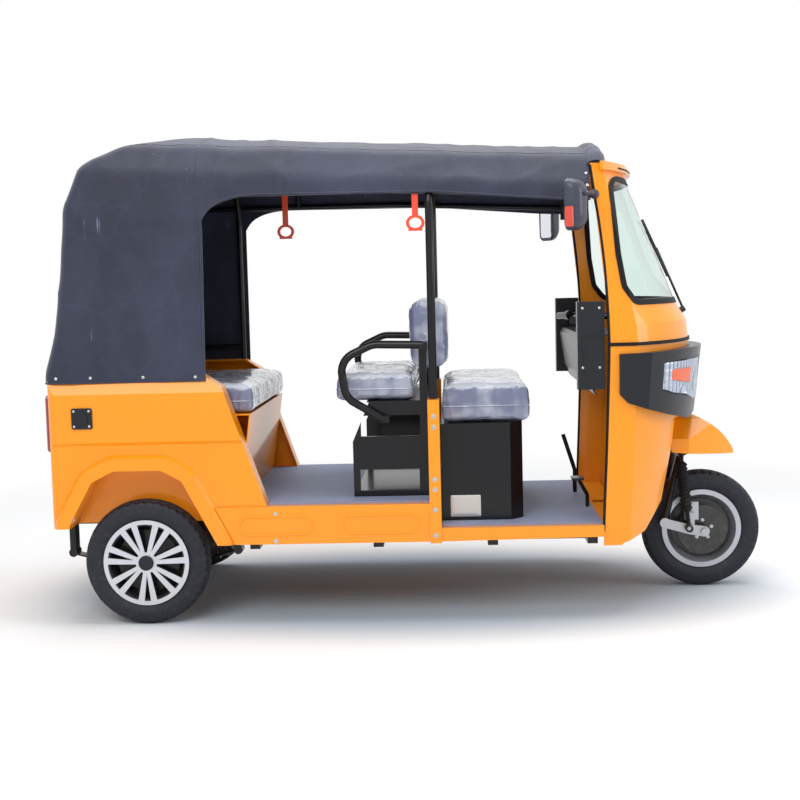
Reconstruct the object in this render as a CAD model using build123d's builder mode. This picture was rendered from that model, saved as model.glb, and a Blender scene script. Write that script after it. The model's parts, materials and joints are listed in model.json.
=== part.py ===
"""Three-wheeled electric passenger rickshaw with a canvas canopy.

Frame: +X forward, +Y to the vehicle's left, +Z up, millimetres.  The origin is on the ground,
midway along the length and on the centre plane.
"""
from math import cos, radians, sin
import os

from build123d import *

# ---------------------------------------------------------------- driving dimensions
# wheels
tyre_od = 500.0
tyre_width = 100.0
rim_flange_r = 168.0
bead_r = 152.0
wheelbase = 2280.0
front_axle_x = 1206.0
rear_track = 1010.0
axle_z = tyre_od / 2
rear_axle_x = front_axle_x - wheelbase
shaft_r = 12.0
running_gap = 0.05          # radial running fit of a shaft in its bore
seat_gap = 0.3              # pieces that only rest against each other

# body shell
body_w = 1150.0
body_rear_x = -1440.0
body_top_z = 990.0
body_bottom_z = 395.0
sheet_t = 5.0
side_depth = 90.0           # how far the quarter panels' flanges turn inward
corner_r = 42.0             # plan radius of the rear corners
crease_z = 925.0
lower_crease_z = 735.0
top_lean = 22.0
lower_step = 12.0

# wheel arch, front and rear feet and shoulders of its opening
arch_foot_rear_x = -1366.0
arch_top_z = 622.0
arch_rear_top_x = -1185.0
arch_front_top_x = -995.0
arch_shoulder_z = 578.0
arch_rear_shoulder_x = -1272.0
arch_front_shoulder_x = -915.0
arch_foot_front_x = -781.0
arch_flare = 62.0
arch_flare_proud = 18.0

# door opening
door_top_x = -817.0
door_bend_x = -744.0
door_bend_z = 942.0
door_foot_x = -584.0

# floor and sills
rear_floor_z = 469.0
front_floor_z = 371.0
mat_t = 9.0
sill_bottom_z = 320.0
sill_top_z = 470.0
front_sill_top_z = 372.0
sill_depth = 40.0
floor_half_w = body_w / 2 - sill_depth
post_x = 78.0
bracket_w = 45.0
bracket_depth = 90.0
bracket_top_z = 876.0
post_y = 512.0
post_r = 16.0

# cab
cab_half_w = 555.0
cab_rear_low_x = 732.0
cab_rear_mid_x = 761.0
cab_rear_top_x = 697.0
cab_nose_low_x = 1060.0
cab_nose_mid_x = 1150.0
cab_nose_top_x = 870.0
cowl_z = 1150.0             # the cowl turns back here
cowl_nose_x = 1142.0
cowl_top_z = 1216.0         # foot of the windscreen
cowl_top_nose_x = 1101.0
cab_bottom_z = 288.0
belt_z = 1066.0
cab_top_z = 1775.0
cab_top_half_w = 515.0
cab_t = 5.0
well_top_z = 755.0
cab_side_lean = 8.0

# steering
rake_deg = 22.0
head_x = 1075.0
head_z = 700.0
stem_r = 18.0
head_tube_r = 30.0
head_tube_len = 150.0

steer_axis = Vector(-sin(radians(rake_deg)), 0, cos(radians(rake_deg)))

# canopy
canopy_t = 6.0
canopy_hem_z = 968.0
canopy_hem_half_w = 568.0
canopy_waist_half_w = 545.0
canopy_waist_z = 1600.0
canopy_shoulder_half_w = 522.0
canopy_shoulder_z = 1775.0
canopy_eave_half_w = 440.0
canopy_eave_z = 1888.0
canopy_crown_z = 1955.0
canopy_fall = 0.052         # forward fall of the roof
canopy_front_x = 696.0
skirt_z = 1674.0
skirt_front_z = 1632.0
quarter_front_x = -806.0

# underframe
rail_y = 360.0
rail_w = 40.0
rail_h = 60.0
rail_low_z = 285.0
rail_high_z = 380.0
axle_tube_r = 35.0

os.makedirs("parts", exist_ok=True)


def save(builder, name):
    """Label a finished sub-part and write its STEP file."""
    builder.part.label = name
    export_step(builder.part, f"parts/{name}.step")


def side_plane(y=0.0):
    """Plane whose local x is +X, local y is +Z and whose normal is -Y."""
    return Plane(origin=(0, y, 0), x_dir=(1, 0, 0), z_dir=(0, -1, 0))


def cross_plane(x=0.0):
    """Plane whose local x is +Y, local y is +Z and whose normal is +X."""
    return Plane(origin=(x, 0, 0), x_dir=(0, 1, 0), z_dir=(1, 0, 0))


def box_between(x0, x1, y0, y1, z0, z1, mode=Mode.ADD):
    """Add a plain block between two corners to the builder in use."""
    with Locations(((x0 + x1) / 2, (y0 + y1) / 2, (z0 + z1) / 2)):
        Box(abs(x1 - x0), abs(y1 - y0), abs(z1 - z0), mode=mode)


def tube_run(points, radii, r, mode=Mode.ADD):
    """Sweep a round bar of radius r along straight runs joined by tangent arcs."""
    with BuildLine(mode=Mode.PRIVATE) as run:
        if len(points) > 2:
            FilletPolyline(*points, radius=radii)
        else:
            Line(*points)
    path = run.wires()[0] if len(points) > 2 else run.line
    with BuildSketch(Plane(path @ 0, z_dir=path % 0)) as section:
        Circle(r)
    sweep(sections=section.sketch, path=path, mode=mode)


def save_both(builder, name):
    """Write a left-hand sub-part and its mirror image."""
    save(builder, f"{name}_left")
    with BuildPart() as twin:
        mirror(builder.part, about=Plane.XZ)
    save(twin, f"{name}_right")


def ribbon(points, left, right):
    """Closed outline of a band along a polyline, with mitred corners.

    left and right are the distances of its two edges from the line."""
    vectors = [Vector(x, z) for x, z in points]
    turns = []
    for i, here in enumerate(vectors):
        before = (here - vectors[i - 1]).normalized() if i else None
        after = (vectors[i + 1] - here).normalized() if i + 1 < len(vectors) else None
        before = before or after
        after = after or before
        normal = Vector(-before.Y - after.Y, before.X + after.X).normalized()
        turns.append(normal / normal.dot(Vector(-after.Y, after.X)))
    one = [here + turn * left for here, turn in zip(vectors, turns)]
    other = [here + turn * right for here, turn in zip(vectors, turns)]
    return [(v.X, v.Y) for v in one + other[::-1]]


def side_prism(points, y0, y1, mode=Mode.ADD):
    """Extrude a polygon of (x, z) points from y0 to y1, with y0 below y1."""
    with BuildSketch(side_plane(y1)) as outline:
        with BuildLine():
            Polyline(*points, close=True)
        make_face()
    extrude(outline.sketch, amount=y1 - y0, mode=mode)


# ================================================================ rear body
half_w = body_w / 2
arch_points = [
    (arch_foot_rear_x, body_bottom_z - 60),
    (arch_foot_rear_x, body_bottom_z + 15),
    (arch_rear_shoulder_x, arch_shoulder_z),
    (arch_rear_top_x, arch_top_z),
    (arch_front_top_x, arch_top_z),
    (arch_front_shoulder_x, arch_shoulder_z),
    (arch_foot_front_x, sill_bottom_z),
    (arch_foot_front_x, sill_bottom_z - 60),
]


def flare_edge_x(z):
    """X of the flare's outer edge in front of the wheel, at height z."""
    slope = (arch_foot_front_x - arch_front_shoulder_x) / (arch_shoulder_z - sill_bottom_z)
    return arch_foot_front_x - slope * (z - sill_bottom_z) + arch_flare * (1 + slope ** 2) ** 0.5


side_points = [
    (body_rear_x, body_bottom_z),
    (body_rear_x, body_top_z),
    (door_top_x, body_top_z),
    (door_bend_x, door_bend_z),
    (door_foot_x, sill_top_z),
    (flare_edge_x(sill_top_z), sill_top_z),
    (flare_edge_x(sill_bottom_z), sill_bottom_z),
    (arch_foot_front_x - 60, sill_bottom_z),
    (arch_foot_front_x - 60, body_bottom_z),
]


def arch_opening(plane, grow=0.0):
    """Sketch of the wheel-arch opening on a side plane, grown outward."""
    with BuildSketch(plane) as opening:
        with BuildLine():
            Polyline(*arch_points, close=True)
        make_face()
        fillet(opening.vertices().group_by(Axis.Z)[-1], radius=30)
        if grow:
            offset(amount=grow, kind=Kind.INTERSECTION)
    return opening.sketch


with BuildPart() as quarter:
    with BuildSketch(side_plane(half_w)) as outline:
        with BuildLine():
            Polyline(*side_points, close=True)
        make_face()
    extrude(amount=side_depth)
    with BuildSketch(cross_plane(body_rear_x - 50)):
        with BuildLine():
            Polyline(
                (half_w - 2 * side_depth, body_bottom_z - 100),
                (half_w - 2 * side_depth, body_top_z),
                (half_w - top_lean, body_top_z),
                (half_w, crease_z),
                (half_w, lower_crease_z),
                (half_w - lower_step, lower_crease_z - lower_step),
                (half_w - lower_step, body_bottom_z - 100),
                close=True,
            )
        make_face()
    extrude(amount=1000, mode=Mode.INTERSECT)
    with BuildSketch(Plane.XY.offset(body_bottom_z - 100)) as plan:
        with Locations((body_rear_x + 500, half_w - side_depth)):
            Rectangle(1000, 2 * side_depth)
        fillet(plan.vertices().sort_by(Axis.X)[:2].sort_by(Axis.Y)[-1], radius=corner_r)
    extrude(plan.sketch, amount=1000, mode=Mode.INTERSECT)
    extrude(arch_opening(side_plane(half_w + 20)), amount=2 * side_depth, mode=Mode.SUBTRACT)
    offset(amount=-sheet_t, openings=quarter.faces().sort_by(Axis.Y)[0], kind=Kind.INTERSECTION)
    flare_y = half_w - lower_step
    extrude(arch_opening(side_plane(flare_y), arch_flare), amount=-arch_flare_proud, taper=35)
    box_between(-1500, -1000, 400, 700, 0, body_bottom_z, mode=Mode.SUBTRACT)
    box_between(-1000, -500, 400, 700, 0, sill_bottom_z, mode=Mode.SUBTRACT)
    extrude(arch_opening(side_plane(half_w + 60)), amount=2 * side_depth, mode=Mode.SUBTRACT)
save_both(quarter, "rear_side")

# back panel between the quarter panels, with a pressed field for the number plate
back_half = half_w - side_depth - seat_gap
plate_z = 640.0
plate_field_w = 420.0
plate_field_h = 190.0
plate_hole_r = 3.5
plate_hole_spacing = 150.0
with BuildPart() as rear_panel:
    box_between(body_rear_x, body_rear_x + sheet_t, -back_half, back_half, body_bottom_z, body_top_z)
    for flange_z in (body_bottom_z, body_top_z - sheet_t):
        box_between(
            body_rear_x, body_rear_x + 40, -back_half, back_half, flange_z, flange_z + sheet_t
        )
    with BuildSketch(cross_plane(body_rear_x)):
        with Locations((0, plate_z)):
            RectangleRounded(plate_field_w + 40, plate_field_h + 40, 25)
            RectangleRounded(plate_field_w, plate_field_h, 15, mode=Mode.SUBTRACT)
    extrude(amount=-6, taper=20)
    with BuildSketch(cross_plane(body_rear_x)):
        with Locations((0, plate_z)):
            with GridLocations(plate_hole_spacing, 10, 2, 1):
                Circle(plate_hole_r)
    extrude(amount=sheet_t, mode=Mode.SUBTRACT)
save(rear_panel, "rear_panel")

# wheel housings, welded to the inner edge of the quarter panels
housing_wall_y = 436.0
housing_t = 4.0
with BuildPart() as wheel_housings:
    housing_rim_y = half_w - side_depth - seat_gap
    extrude(arch_opening(side_plane(housing_rim_y), sheet_t), amount=housing_rim_y - housing_wall_y)
    extrude(
        arch_opening(side_plane(housing_rim_y)),
        amount=housing_rim_y - housing_wall_y - housing_t,
        mode=Mode.SUBTRACT,
    )
    box_between(-1500, -500, 400, 700, 0, body_bottom_z, mode=Mode.SUBTRACT)
    mirror(about=Plane.XZ)
save(wheel_housings, "wheel_housings")

# tail lamps and the charging port on the right-hand quarter panel
lamp_outer_y = half_w - corner_r - 5
lamp_inner_y = lamp_outer_y - 66
lamp_bottom_z = 695.0
lamp_top_z = 922.0
lamp_depth = 16.0
with BuildPart() as tail_lamps:
    box_between(
        body_rear_x - lamp_depth, body_rear_x - seat_gap,
        lamp_inner_y, lamp_outer_y, lamp_bottom_z, lamp_top_z,
    )
    fillet(tail_lamps.edges().filter_by(Axis.X), radius=14)
    chamfer(tail_lamps.faces().sort_by(Axis.X)[0].edges(), length=5)
    mirror(about=Plane.XZ)
save(tail_lamps, "tail_lamps")

port_x = -1297.0
port_z = 832.0
port_size = 82.0
port_proud = 9.0
with BuildPart() as charge_port:
    with BuildSketch(side_plane(-half_w - seat_gap)):
        with Locations((port_x, port_z)):
            RectangleRounded(port_size, port_size, 8)
    extrude(amount=port_proud)
    chamfer(charge_port.faces().sort_by(Axis.Y)[0].edges(), length=3)
    with BuildSketch(side_plane(-half_w - seat_gap - port_proud)):
        with Locations((port_x, port_z)):
            Circle(port_size * 0.3)
    extrude(amount=4)
save(charge_port, "charge_port")

# ================================================================ floor, sills, posts
floor_rear_x = -720.0
bulkhead_foot_x = -700.0
deck_z = 828.0
deck_front_x = -648.0
step_x = post_x + bracket_w / 2
floor_front_x = 836.0
pan_t = 4.0
spine_w = 50.0
with BuildPart() as floor_pan:
    side_prism(
        [
            (floor_rear_x, rear_floor_z), (step_x, rear_floor_z), (step_x, front_floor_z),
            (floor_front_x, front_floor_z), (floor_front_x, front_floor_z - pan_t),
            (step_x - pan_t, front_floor_z - pan_t), (step_x - pan_t, rear_floor_z - pan_t),
            (floor_rear_x, rear_floor_z - pan_t),
        ],
        -floor_half_w + seat_gap, floor_half_w - seat_gap,
    )
    notch_half = spine_w / 2 + 8
    box_between(
        floor_front_x - 90, floor_front_x, -notch_half, notch_half,
        front_floor_z - 20, front_floor_z + 20, mode=Mode.SUBTRACT,
    )
save(floor_pan, "floor_pan")

with BuildPart() as floor_mats:
    for x0, x1, y1, z0 in (
        (bulkhead_foot_x + 2, door_foot_x + 2, back_half - 1, rear_floor_z),
        (door_foot_x + 2, step_x - 2, floor_half_w - 2, rear_floor_z),
        (step_x + 2, cab_rear_low_x - 2, floor_half_w - 2, front_floor_z),
    ):
        box_between(x0, x1, -y1, y1, z0 + seat_gap, z0 + mat_t)
save(floor_mats, "floor_mats")

# pressed side sills: a deep one beside the rear floor, a shallow one at the driver's step
sill_t = 4.0
sill_set = 4.0              # the sills' faces lie this far inside the quarter panels'
press_depth = 3.0
rear_sill_points = [
    (flare_edge_x(sill_top_z) + seat_gap, sill_top_z - seat_gap),
    (step_x - bracket_w - seat_gap, sill_top_z - seat_gap),
    (step_x - bracket_w - seat_gap, sill_bottom_z),
    (flare_edge_x(sill_bottom_z) + seat_gap, sill_bottom_z),
]
front_sill_points = [
    (step_x + seat_gap, front_sill_top_z),
    (cab_rear_low_x - seat_gap, front_sill_top_z),
    (cab_rear_low_x - seat_gap, sill_bottom_z + 8),
    (step_x + seat_gap, sill_bottom_z),
]
with BuildPart() as sill_blank:
    for points in (rear_sill_points, front_sill_points):
        side_prism(points, floor_half_w, half_w - sill_set)
    offset(
        amount=-sill_t, kind=Kind.INTERSECTION,
        openings=sill_blank.faces().filter_by(Axis.Y).group_by(Axis.Y)[0],
    )
with BuildPart() as side_sills:
    add(sill_blank)
    with BuildSketch(side_plane(half_w - sill_set)):
        for x0, x1 in ((-700, -400), (-290, 20)):
            with Locations(((x0 + x1) / 2, (sill_bottom_z + sill_top_z) / 2)):
                SlotOverall(x1 - x0, 84)
                SlotOverall(x1 - x0 - 24, 60, mode=Mode.SUBTRACT)
    extrude(amount=-press_depth, taper=30)
    mirror(about=Plane.XZ)
save(side_sills, "side_sills")

# bolted channels that carry the centre posts
with BuildPart() as post_brackets:
    box_between(
        step_x - bracket_w, step_x, half_w - bracket_depth, half_w, sill_bottom_z - 6, bracket_top_z
    )
    box_between(
        step_x - bracket_w, step_x, half_w - bracket_depth - 10, floor_half_w + seat_gap,
        0, rear_floor_z + 20, mode=Mode.SUBTRACT,
    )
    with Locations(Location((post_x, post_y, bracket_top_z))):
        Cylinder(post_r + seat_gap, 160, mode=Mode.SUBTRACT)
    mirror(about=Plane.XZ)
save(post_brackets, "post_brackets")


# ================================================================ underframe
rail_front_x = 720.0
kick_front_x = -760.0
kick_rear_x = -860.0
rail_rear_x = -1398.0
cross_xs = (-640.0, -150.0, 300.0, 690.0)
spine_h = 50.0
with BuildPart() as underframe:
    rail_points = [
        (rail_front_x, rail_low_z), (rail_front_x, rail_low_z + rail_h),
        (kick_front_x, rail_low_z + rail_h), (kick_rear_x, rail_high_z + rail_h),
        (rail_rear_x, rail_high_z + rail_h), (rail_rear_x, rail_high_z),
        (kick_rear_x, rail_high_z), (kick_front_x, rail_low_z),
    ]
    side_prism(rail_points, rail_y - rail_w / 2, rail_y + rail_w / 2)
    side_prism(rail_points, -rail_y - rail_w / 2, -rail_y + rail_w / 2)
    for x in cross_xs:
        box_between(x - 20, x + 20, -floor_half_w, floor_half_w, rail_low_z + 10, rail_low_z + rail_h)
    for x in (-1378.0, -900.0):
        box_between(x - 20, x + 20, -rail_y, rail_y, rail_high_z + 10, rail_high_z + rail_h)
    # risers under the rear floor
    for x in (-640.0, -150.0, post_x - bracket_w):
        for y in (-rail_y, rail_y):
            box_between(
                x - 15, x + 15, y - 15, y + 15, rail_low_z + rail_h, rear_floor_z - pan_t
            )
    for y in (-rail_y, rail_y):
        box_between(300, 690, y - 15, y + 15, rail_low_z + rail_h, front_floor_z - pan_t)
    # spine up to the steering head
    spine_points = [(680, 318), (800, 328), (880, 440), (905, 610), (head_x - 5, head_z + 5)]
    side_prism(ribbon(spine_points, spine_h / 2, -spine_h / 2), -spine_w / 2, spine_w / 2)
    steer_plane = Plane(origin=(head_x, 0, head_z), x_dir=(0, 1, 0), z_dir=steer_axis)
    with BuildSketch(steer_plane.offset(-head_tube_len / 2)):
        Circle(head_tube_r)
    extrude(amount=head_tube_len)
    with BuildSketch(steer_plane.offset(-head_tube_len)):
        Circle(stem_r + running_gap)
    extrude(amount=2 * head_tube_len, mode=Mode.SUBTRACT)
save(underframe, "underframe")

# ================================================================ rear axle and springs
axle_half = 455.0
drum_r = 100.0
drum_w = 42.0
diff_r = 105.0
motor_r = 92.0
motor_len = 235.0
with BuildPart() as rear_axle:
    with BuildSketch(side_plane(axle_half)):
        with Locations((rear_axle_x, axle_z)):
            Circle(axle_tube_r)
    extrude(amount=2 * axle_half)
    for y in (axle_half, -axle_half + drum_w):
        with BuildSketch(side_plane(y)):
            with Locations((rear_axle_x, axle_z)):
                Circle(drum_r)
        extrude(amount=drum_w)
    with Locations(Location((rear_axle_x, 0, axle_z))):
        Sphere(diff_r)
    with BuildSketch(cross_plane(rear_axle_x)):
        with Locations((0, axle_z)):
            Circle(motor_r)
    extrude(amount=motor_len)
    with BuildSketch(cross_plane(rear_axle_x + motor_len)):
        with Locations((0, axle_z)):
            Circle(motor_r * 0.75)
    extrude(amount=18)
    # stub shafts that carry the wheels
    with BuildSketch(side_plane(rear_track / 2 + 28)):
        with Locations((rear_axle_x, axle_z)):
            Circle(shaft_r)
    extrude(amount=rear_track + 56)
save(rear_axle, "rear_axle")

leaf_w = 50.0
leaf_t = 7.0
leaf_half = 340.0
leaf_seat_z = axle_z - axle_tube_r - 3
leaf_eye_z = 262.0
eye_r = 18.0
with BuildPart() as rear_springs:
    for leaf, share in enumerate((1.0, 0.78, 0.56, 0.34)):
        rise = (leaf_eye_z - leaf_seat_z) * share ** 2
        reach = leaf_half * share
        z_mid = leaf_seat_z - leaf * leaf_t
        with BuildSketch(side_plane(rail_y + leaf_w / 2)):
            with BuildLine():
                upper = ThreePointArc(
                    (rear_axle_x - reach, z_mid + rise), (rear_axle_x, z_mid),
                    (rear_axle_x + reach, z_mid + rise),
                )
                Line(upper @ 1, (rear_axle_x + reach, z_mid + rise - leaf_t))
                lower = ThreePointArc(
                    (rear_axle_x + reach, z_mid + rise - leaf_t), (rear_axle_x, z_mid - leaf_t),
                    (rear_axle_x - reach, z_mid + rise - leaf_t),
                )
                Line(lower @ 1, upper @ 0)
            make_face()
        extrude(amount=leaf_w)
    for x in (rear_axle_x - leaf_half, rear_axle_x + leaf_half):
        with BuildSketch(side_plane(rail_y + leaf_w / 2 + 4)):
            with Locations((x, leaf_eye_z)):
                Circle(eye_r)
        extrude(amount=leaf_w + 8)
    # hanger ahead of the axle, shackle behind it, and the clamp under the axle tube
    box_between(
        rear_axle_x + leaf_half - 14, rear_axle_x + leaf_half + 14, rail_y - 29, rail_y + 29,
        leaf_eye_z, rail_low_z - seat_gap,
    )
    box_between(
        rear_axle_x - leaf_half - 12, rear_axle_x - leaf_half + 12, rail_y - 29, rail_y + 29,
        leaf_eye_z, rail_high_z - seat_gap,
    )
    box_between(
        rear_axle_x - 45, rear_axle_x + 45, rail_y - 30, rail_y + 30,
        leaf_seat_z - 4 * leaf_t - 8, leaf_seat_z + 2.5,
    )
    mirror(about=Plane.XZ)
save(rear_springs, "rear_springs")

# ================================================================ wheels
def tyre_at(x, y):
    """Tyre with a rounded crown and sidewalls, centred on its own axle."""
    half = tyre_width / 2
    od_r = tyre_od / 2
    section_plane = Plane(origin=(x, y, axle_z), x_dir=(0, 1, 0), z_dir=(1, 0, 0))
    with BuildPart() as tyre:
        with BuildSketch(section_plane):
            with BuildLine():
                Polyline(
                    (-half * 0.72, bead_r), (-half * 0.72, rim_flange_r + 2), (-half, od_r * 0.80),
                    (-half * 0.93, od_r * 0.92), (-half * 0.80, od_r * 0.962),
                )
                ThreePointArc((-half * 0.80, od_r * 0.962), (0, od_r), (half * 0.80, od_r * 0.962))
                Polyline(
                    (half * 0.80, od_r * 0.962), (half * 0.93, od_r * 0.92), (half, od_r * 0.80),
                    (half * 0.72, rim_flange_r + 2), (half * 0.72, bead_r),
                )
                Line((half * 0.72, bead_r), (-half * 0.72, bead_r))
            make_face()
        revolve(axis=Axis((x, y, axle_z), (0, 1, 0)))
    return tyre


def rim_at(x, y, dish, hub_r):
    """Pressed rim: flanges that hold the tyre, a well, a dished disc and a bored hub."""
    half = tyre_width * 0.36
    plane = Plane(origin=(x, y, axle_z), x_dir=(0, 1, 0), z_dir=(1, 0, 0))
    with BuildPart() as rim:
        with BuildSketch(plane):
            with BuildLine():
                Polyline(
                    (-half - 1, rim_flange_r), (-half - 5, rim_flange_r), (-half - 5, bead_r - 5),
                    (-half * 0.4, bead_r - 24), (dish - 3, bead_r - 28), (dish - 10, hub_r + 24),
                    (dish - 24, hub_r + 8), (dish - 24, shaft_r + running_gap),
                    (dish + 18, shaft_r + running_gap), (dish + 18, hub_r), (dish - 3, hub_r + 20),
                    (dish + 4, bead_r - 28), (half * 0.4, bead_r - 24), (half + 5, bead_r - 5),
                    (half + 5, rim_flange_r), (half + 1, rim_flange_r), (half + 1, bead_r - seat_gap),
                    (-half - 1, bead_r - seat_gap), close=True,
                )
            make_face()
        revolve(axis=Axis((x, y, axle_z), (0, 1, 0)))
    return rim


cover_r = 171.0
cover_t = 6.0
cover_ring_w = 17.0
cover_hub_r = 42.0
cap_r = 30.0
spoke_pairs = 7
spoke_root_w = 15.0
spoke_tip_w = 26.0
spoke_gap_deg = 19.0
cover_y = tyre_width * 0.36 + 5 + seat_gap


def cover_at(x, y, sign):
    """Wheel cover: a ring and a hub joined by pairs of spokes, one pair pointing down."""
    plane = Plane(origin=(x, y + sign * cover_y, axle_z), x_dir=(1, 0, 0), z_dir=(0, sign, 0))
    with BuildPart() as cover:
        with BuildSketch(plane):
            Circle(cover_r)
            Circle(cover_r - cover_ring_w, mode=Mode.SUBTRACT)
            Circle(cover_hub_r)
            for pair in range(spoke_pairs):
                for lean in (-spoke_gap_deg / 2, spoke_gap_deg / 2):
                    angle = sign * 90 + pair * 360 / spoke_pairs + lean
                    Polygon(
                        (cover_hub_r - 4, -spoke_root_w / 2), (cover_r - 8, -spoke_tip_w / 2),
                        (cover_r - 8, spoke_tip_w / 2), (cover_hub_r - 4, spoke_root_w / 2),
                        rotation=angle, align=None,
                    )
        extrude(amount=cover_t)
        with BuildSketch(plane.offset(cover_t)):
            Circle(cap_r)
        extrude(amount=5, taper=20)
    return cover


for side, sign in (("left", 1), ("right", -1)):
    wheel_y = sign * rear_track / 2
    save(tyre_at(rear_axle_x, wheel_y), f"rear_tyre_{side}")
    save(rim_at(rear_axle_x, wheel_y, 0, 34), f"rear_rim_{side}")
    save(cover_at(rear_axle_x, wheel_y, sign), f"wheel_cover_{side}")
save(tyre_at(front_axle_x, 0), "front_tyre")

brake_disc_r = 105.0
brake_disc_y = -60.0
brake_disc_t = 4.0
with BuildPart() as front_rim:
    add(rim_at(front_axle_x, 0, 0, 34).part)
    with BuildSketch(side_plane(brake_disc_y + brake_disc_t / 2)):
        with Locations((front_axle_x, axle_z)):
            Circle(brake_disc_r)
            Circle(shaft_r + running_gap, mode=Mode.SUBTRACT)
    extrude(amount=brake_disc_t)
    with BuildSketch(side_plane(-18)):
        with Locations((front_axle_x, axle_z)):
            Circle(30)
            Circle(shaft_r + running_gap, mode=Mode.SUBTRACT)
    extrude(amount=-brake_disc_y - 18)
save(front_rim, "front_rim")

# ================================================================ steering
crown_s = -110.0
crown_t = 30.0
crown_half_w = 150.0
crown_depth = 56.0
leg_y = 84.0
leg_r = 16.0
link_pivot_x = 1041.0
link_pivot_z = 288.0
link_y = 106.0
link_t = 12.0
shock_y = 130.0
shock_foot_x = 1138.0
bar_s = 480.0
bar_r = 11.0
grip_r = 16.0
stem_top = steer_plane.offset(bar_s).origin
crown_mid = steer_plane.offset(crown_s).origin
with BuildPart() as fork:
    with BuildSketch(steer_plane.offset(crown_s)):
        Circle(stem_r)
    extrude(amount=bar_s - crown_s)
    with BuildSketch(steer_plane.offset(crown_s)):
        Circle(head_tube_r - 2)
    extrude(amount=-crown_s - head_tube_len / 2 - seat_gap)
    with BuildSketch(steer_plane.offset(crown_s - crown_t / 2)):
        RectangleRounded(2 * crown_half_w, crown_depth, 20)
    extrude(amount=crown_t)
    leg_points = [
        (crown_mid.X, leg_y, crown_mid.Z), (crown_mid.X - 38, leg_y, crown_mid.Z - 150),
        (link_pivot_x, leg_y, link_pivot_z),
    ]
    tube_run(leg_points, 120, leg_r)
    with BuildSketch(side_plane(leg_y + 14)):
        with Locations((link_pivot_x, link_pivot_z)):
            Circle(22)
    extrude(amount=28)
    split(bisect_by=Plane.XZ, keep=Keep.BOTTOM)
    mirror(about=Plane.XZ)
save(fork, "fork")

grip_y1 = 335.0
bar_points = [
    (stem_top.X, 0, stem_top.Z + 19),
    (stem_top.X - 8, 95, stem_top.Z + 22),
    (stem_top.X - 215, 185, stem_top.Z + 24),
    (stem_top.X - 252, grip_y1 + 4, stem_top.Z + 18),
]
with BuildPart() as handlebar:
    tube_run(bar_points, (50, 45), bar_r)
    grip_dir = (Vector(*bar_points[3]) - Vector(*bar_points[2])).normalized()
    grip_plane = Plane(origin=bar_points[3], z_dir=grip_dir)
    with BuildSketch(grip_plane.offset(-118)):
        Circle(grip_r)
    extrude(amount=120)
    with BuildSketch(grip_plane.offset(-158)):
        Circle(grip_r + 5)
    extrude(amount=36)
    # clamp over the stem
    box_between(stem_top.X - 20, stem_top.X + 20, -1, 34, stem_top.Z + 7.2, stem_top.Z + 34)
    split(bisect_by=Plane.XZ, keep=Keep.BOTTOM)
    mirror(about=Plane.XZ)
save(handlebar, "handlebar")

# leading links, axle, caliper
with BuildPart() as front_links:
    for y in (link_y, -link_y):
        with BuildSketch(side_plane(y + link_t / 2)):
            with BuildLine():
                Polyline(
                    (link_pivot_x, link_pivot_z + 20), (shock_foot_x, 282),
                    (front_axle_x, axle_z + 22), (front_axle_x, axle_z - 22),
                    (shock_foot_x, axle_z - 10), (link_pivot_x, link_pivot_z - 20), close=True,
                )
            make_face()
            with Locations((link_pivot_x, link_pivot_z), (front_axle_x, axle_z)):
                Circle(22)
        extrude(amount=link_t)
        with BuildSketch(side_plane(max(y, y * 1.27))):
            with Locations((shock_foot_x, 268)):
                Circle(9)
        extrude(amount=abs(y) * 0.27)
    with BuildSketch(side_plane(link_y + 20)):
        with Locations((front_axle_x, axle_z)):
            Circle(shaft_r)
    extrude(amount=2 * (link_y + 20))
    for y in (link_y + 20, -link_y - 8):
        with BuildSketch(side_plane(y)):
            with Locations((front_axle_x, axle_z)):
                RegularPolygon(17, 6)
        extrude(amount=12)
    # caliper straddling the disc behind the axle, on an arm from the right-hand link
    caliper_y0 = brake_disc_y - 24
    box_between(1128, 1186, caliper_y0, brake_disc_y + 8, 296, 372)
    box_between(
        1120, 1190, brake_disc_y - 4, brake_disc_y + 4, 280, 360, mode=Mode.SUBTRACT,
    )
    box_between(1136, 1166, -link_y + 2, caliper_y0 + 4, 268, 330)
save(front_links, "front_links")

shock_r = 25.0
shock_top = Vector(crown_mid.X - 14, shock_y, crown_mid.Z - 22)
shock_foot = Vector(shock_foot_x, shock_y, 268)
shock_dir = (shock_top - shock_foot).normalized()
shock_len = (shock_top - shock_foot).length
bellows_ribs = 12
with BuildPart() as front_shocks:
    rib_pitch = (shock_len - 110) / bellows_ribs
    outline = [(0, 14), (9, 14), (9, 70), (16, 76)]
    for rib in range(bellows_ribs):
        z0 = 80 + rib * rib_pitch
        outline += [(shock_r - 6, z0), (shock_r, z0 + rib_pitch / 2)]
    outline += [(shock_r - 6, shock_len - 30), (12, shock_len - 24), (12, shock_len - 6), (0, shock_len - 6)]
    profile_plane = Plane(origin=shock_foot, x_dir=(0, 1, 0), z_dir=shock_dir.cross(Vector(0, 1, 0)) * -1)
    with BuildSketch(profile_plane):
        with BuildLine():
            Polyline(*outline, close=True)
        make_face()
    revolve(axis=Axis(shock_foot, shock_dir))
    with BuildSketch(side_plane(shock_y + 11)):
        with Locations((shock_foot_x, 268)):
            Circle(16)
            Circle(9 + seat_gap, mode=Mode.SUBTRACT)
    extrude(amount=22)
    mirror(about=Plane.XZ)
save(front_shocks, "front_shocks")

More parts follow.
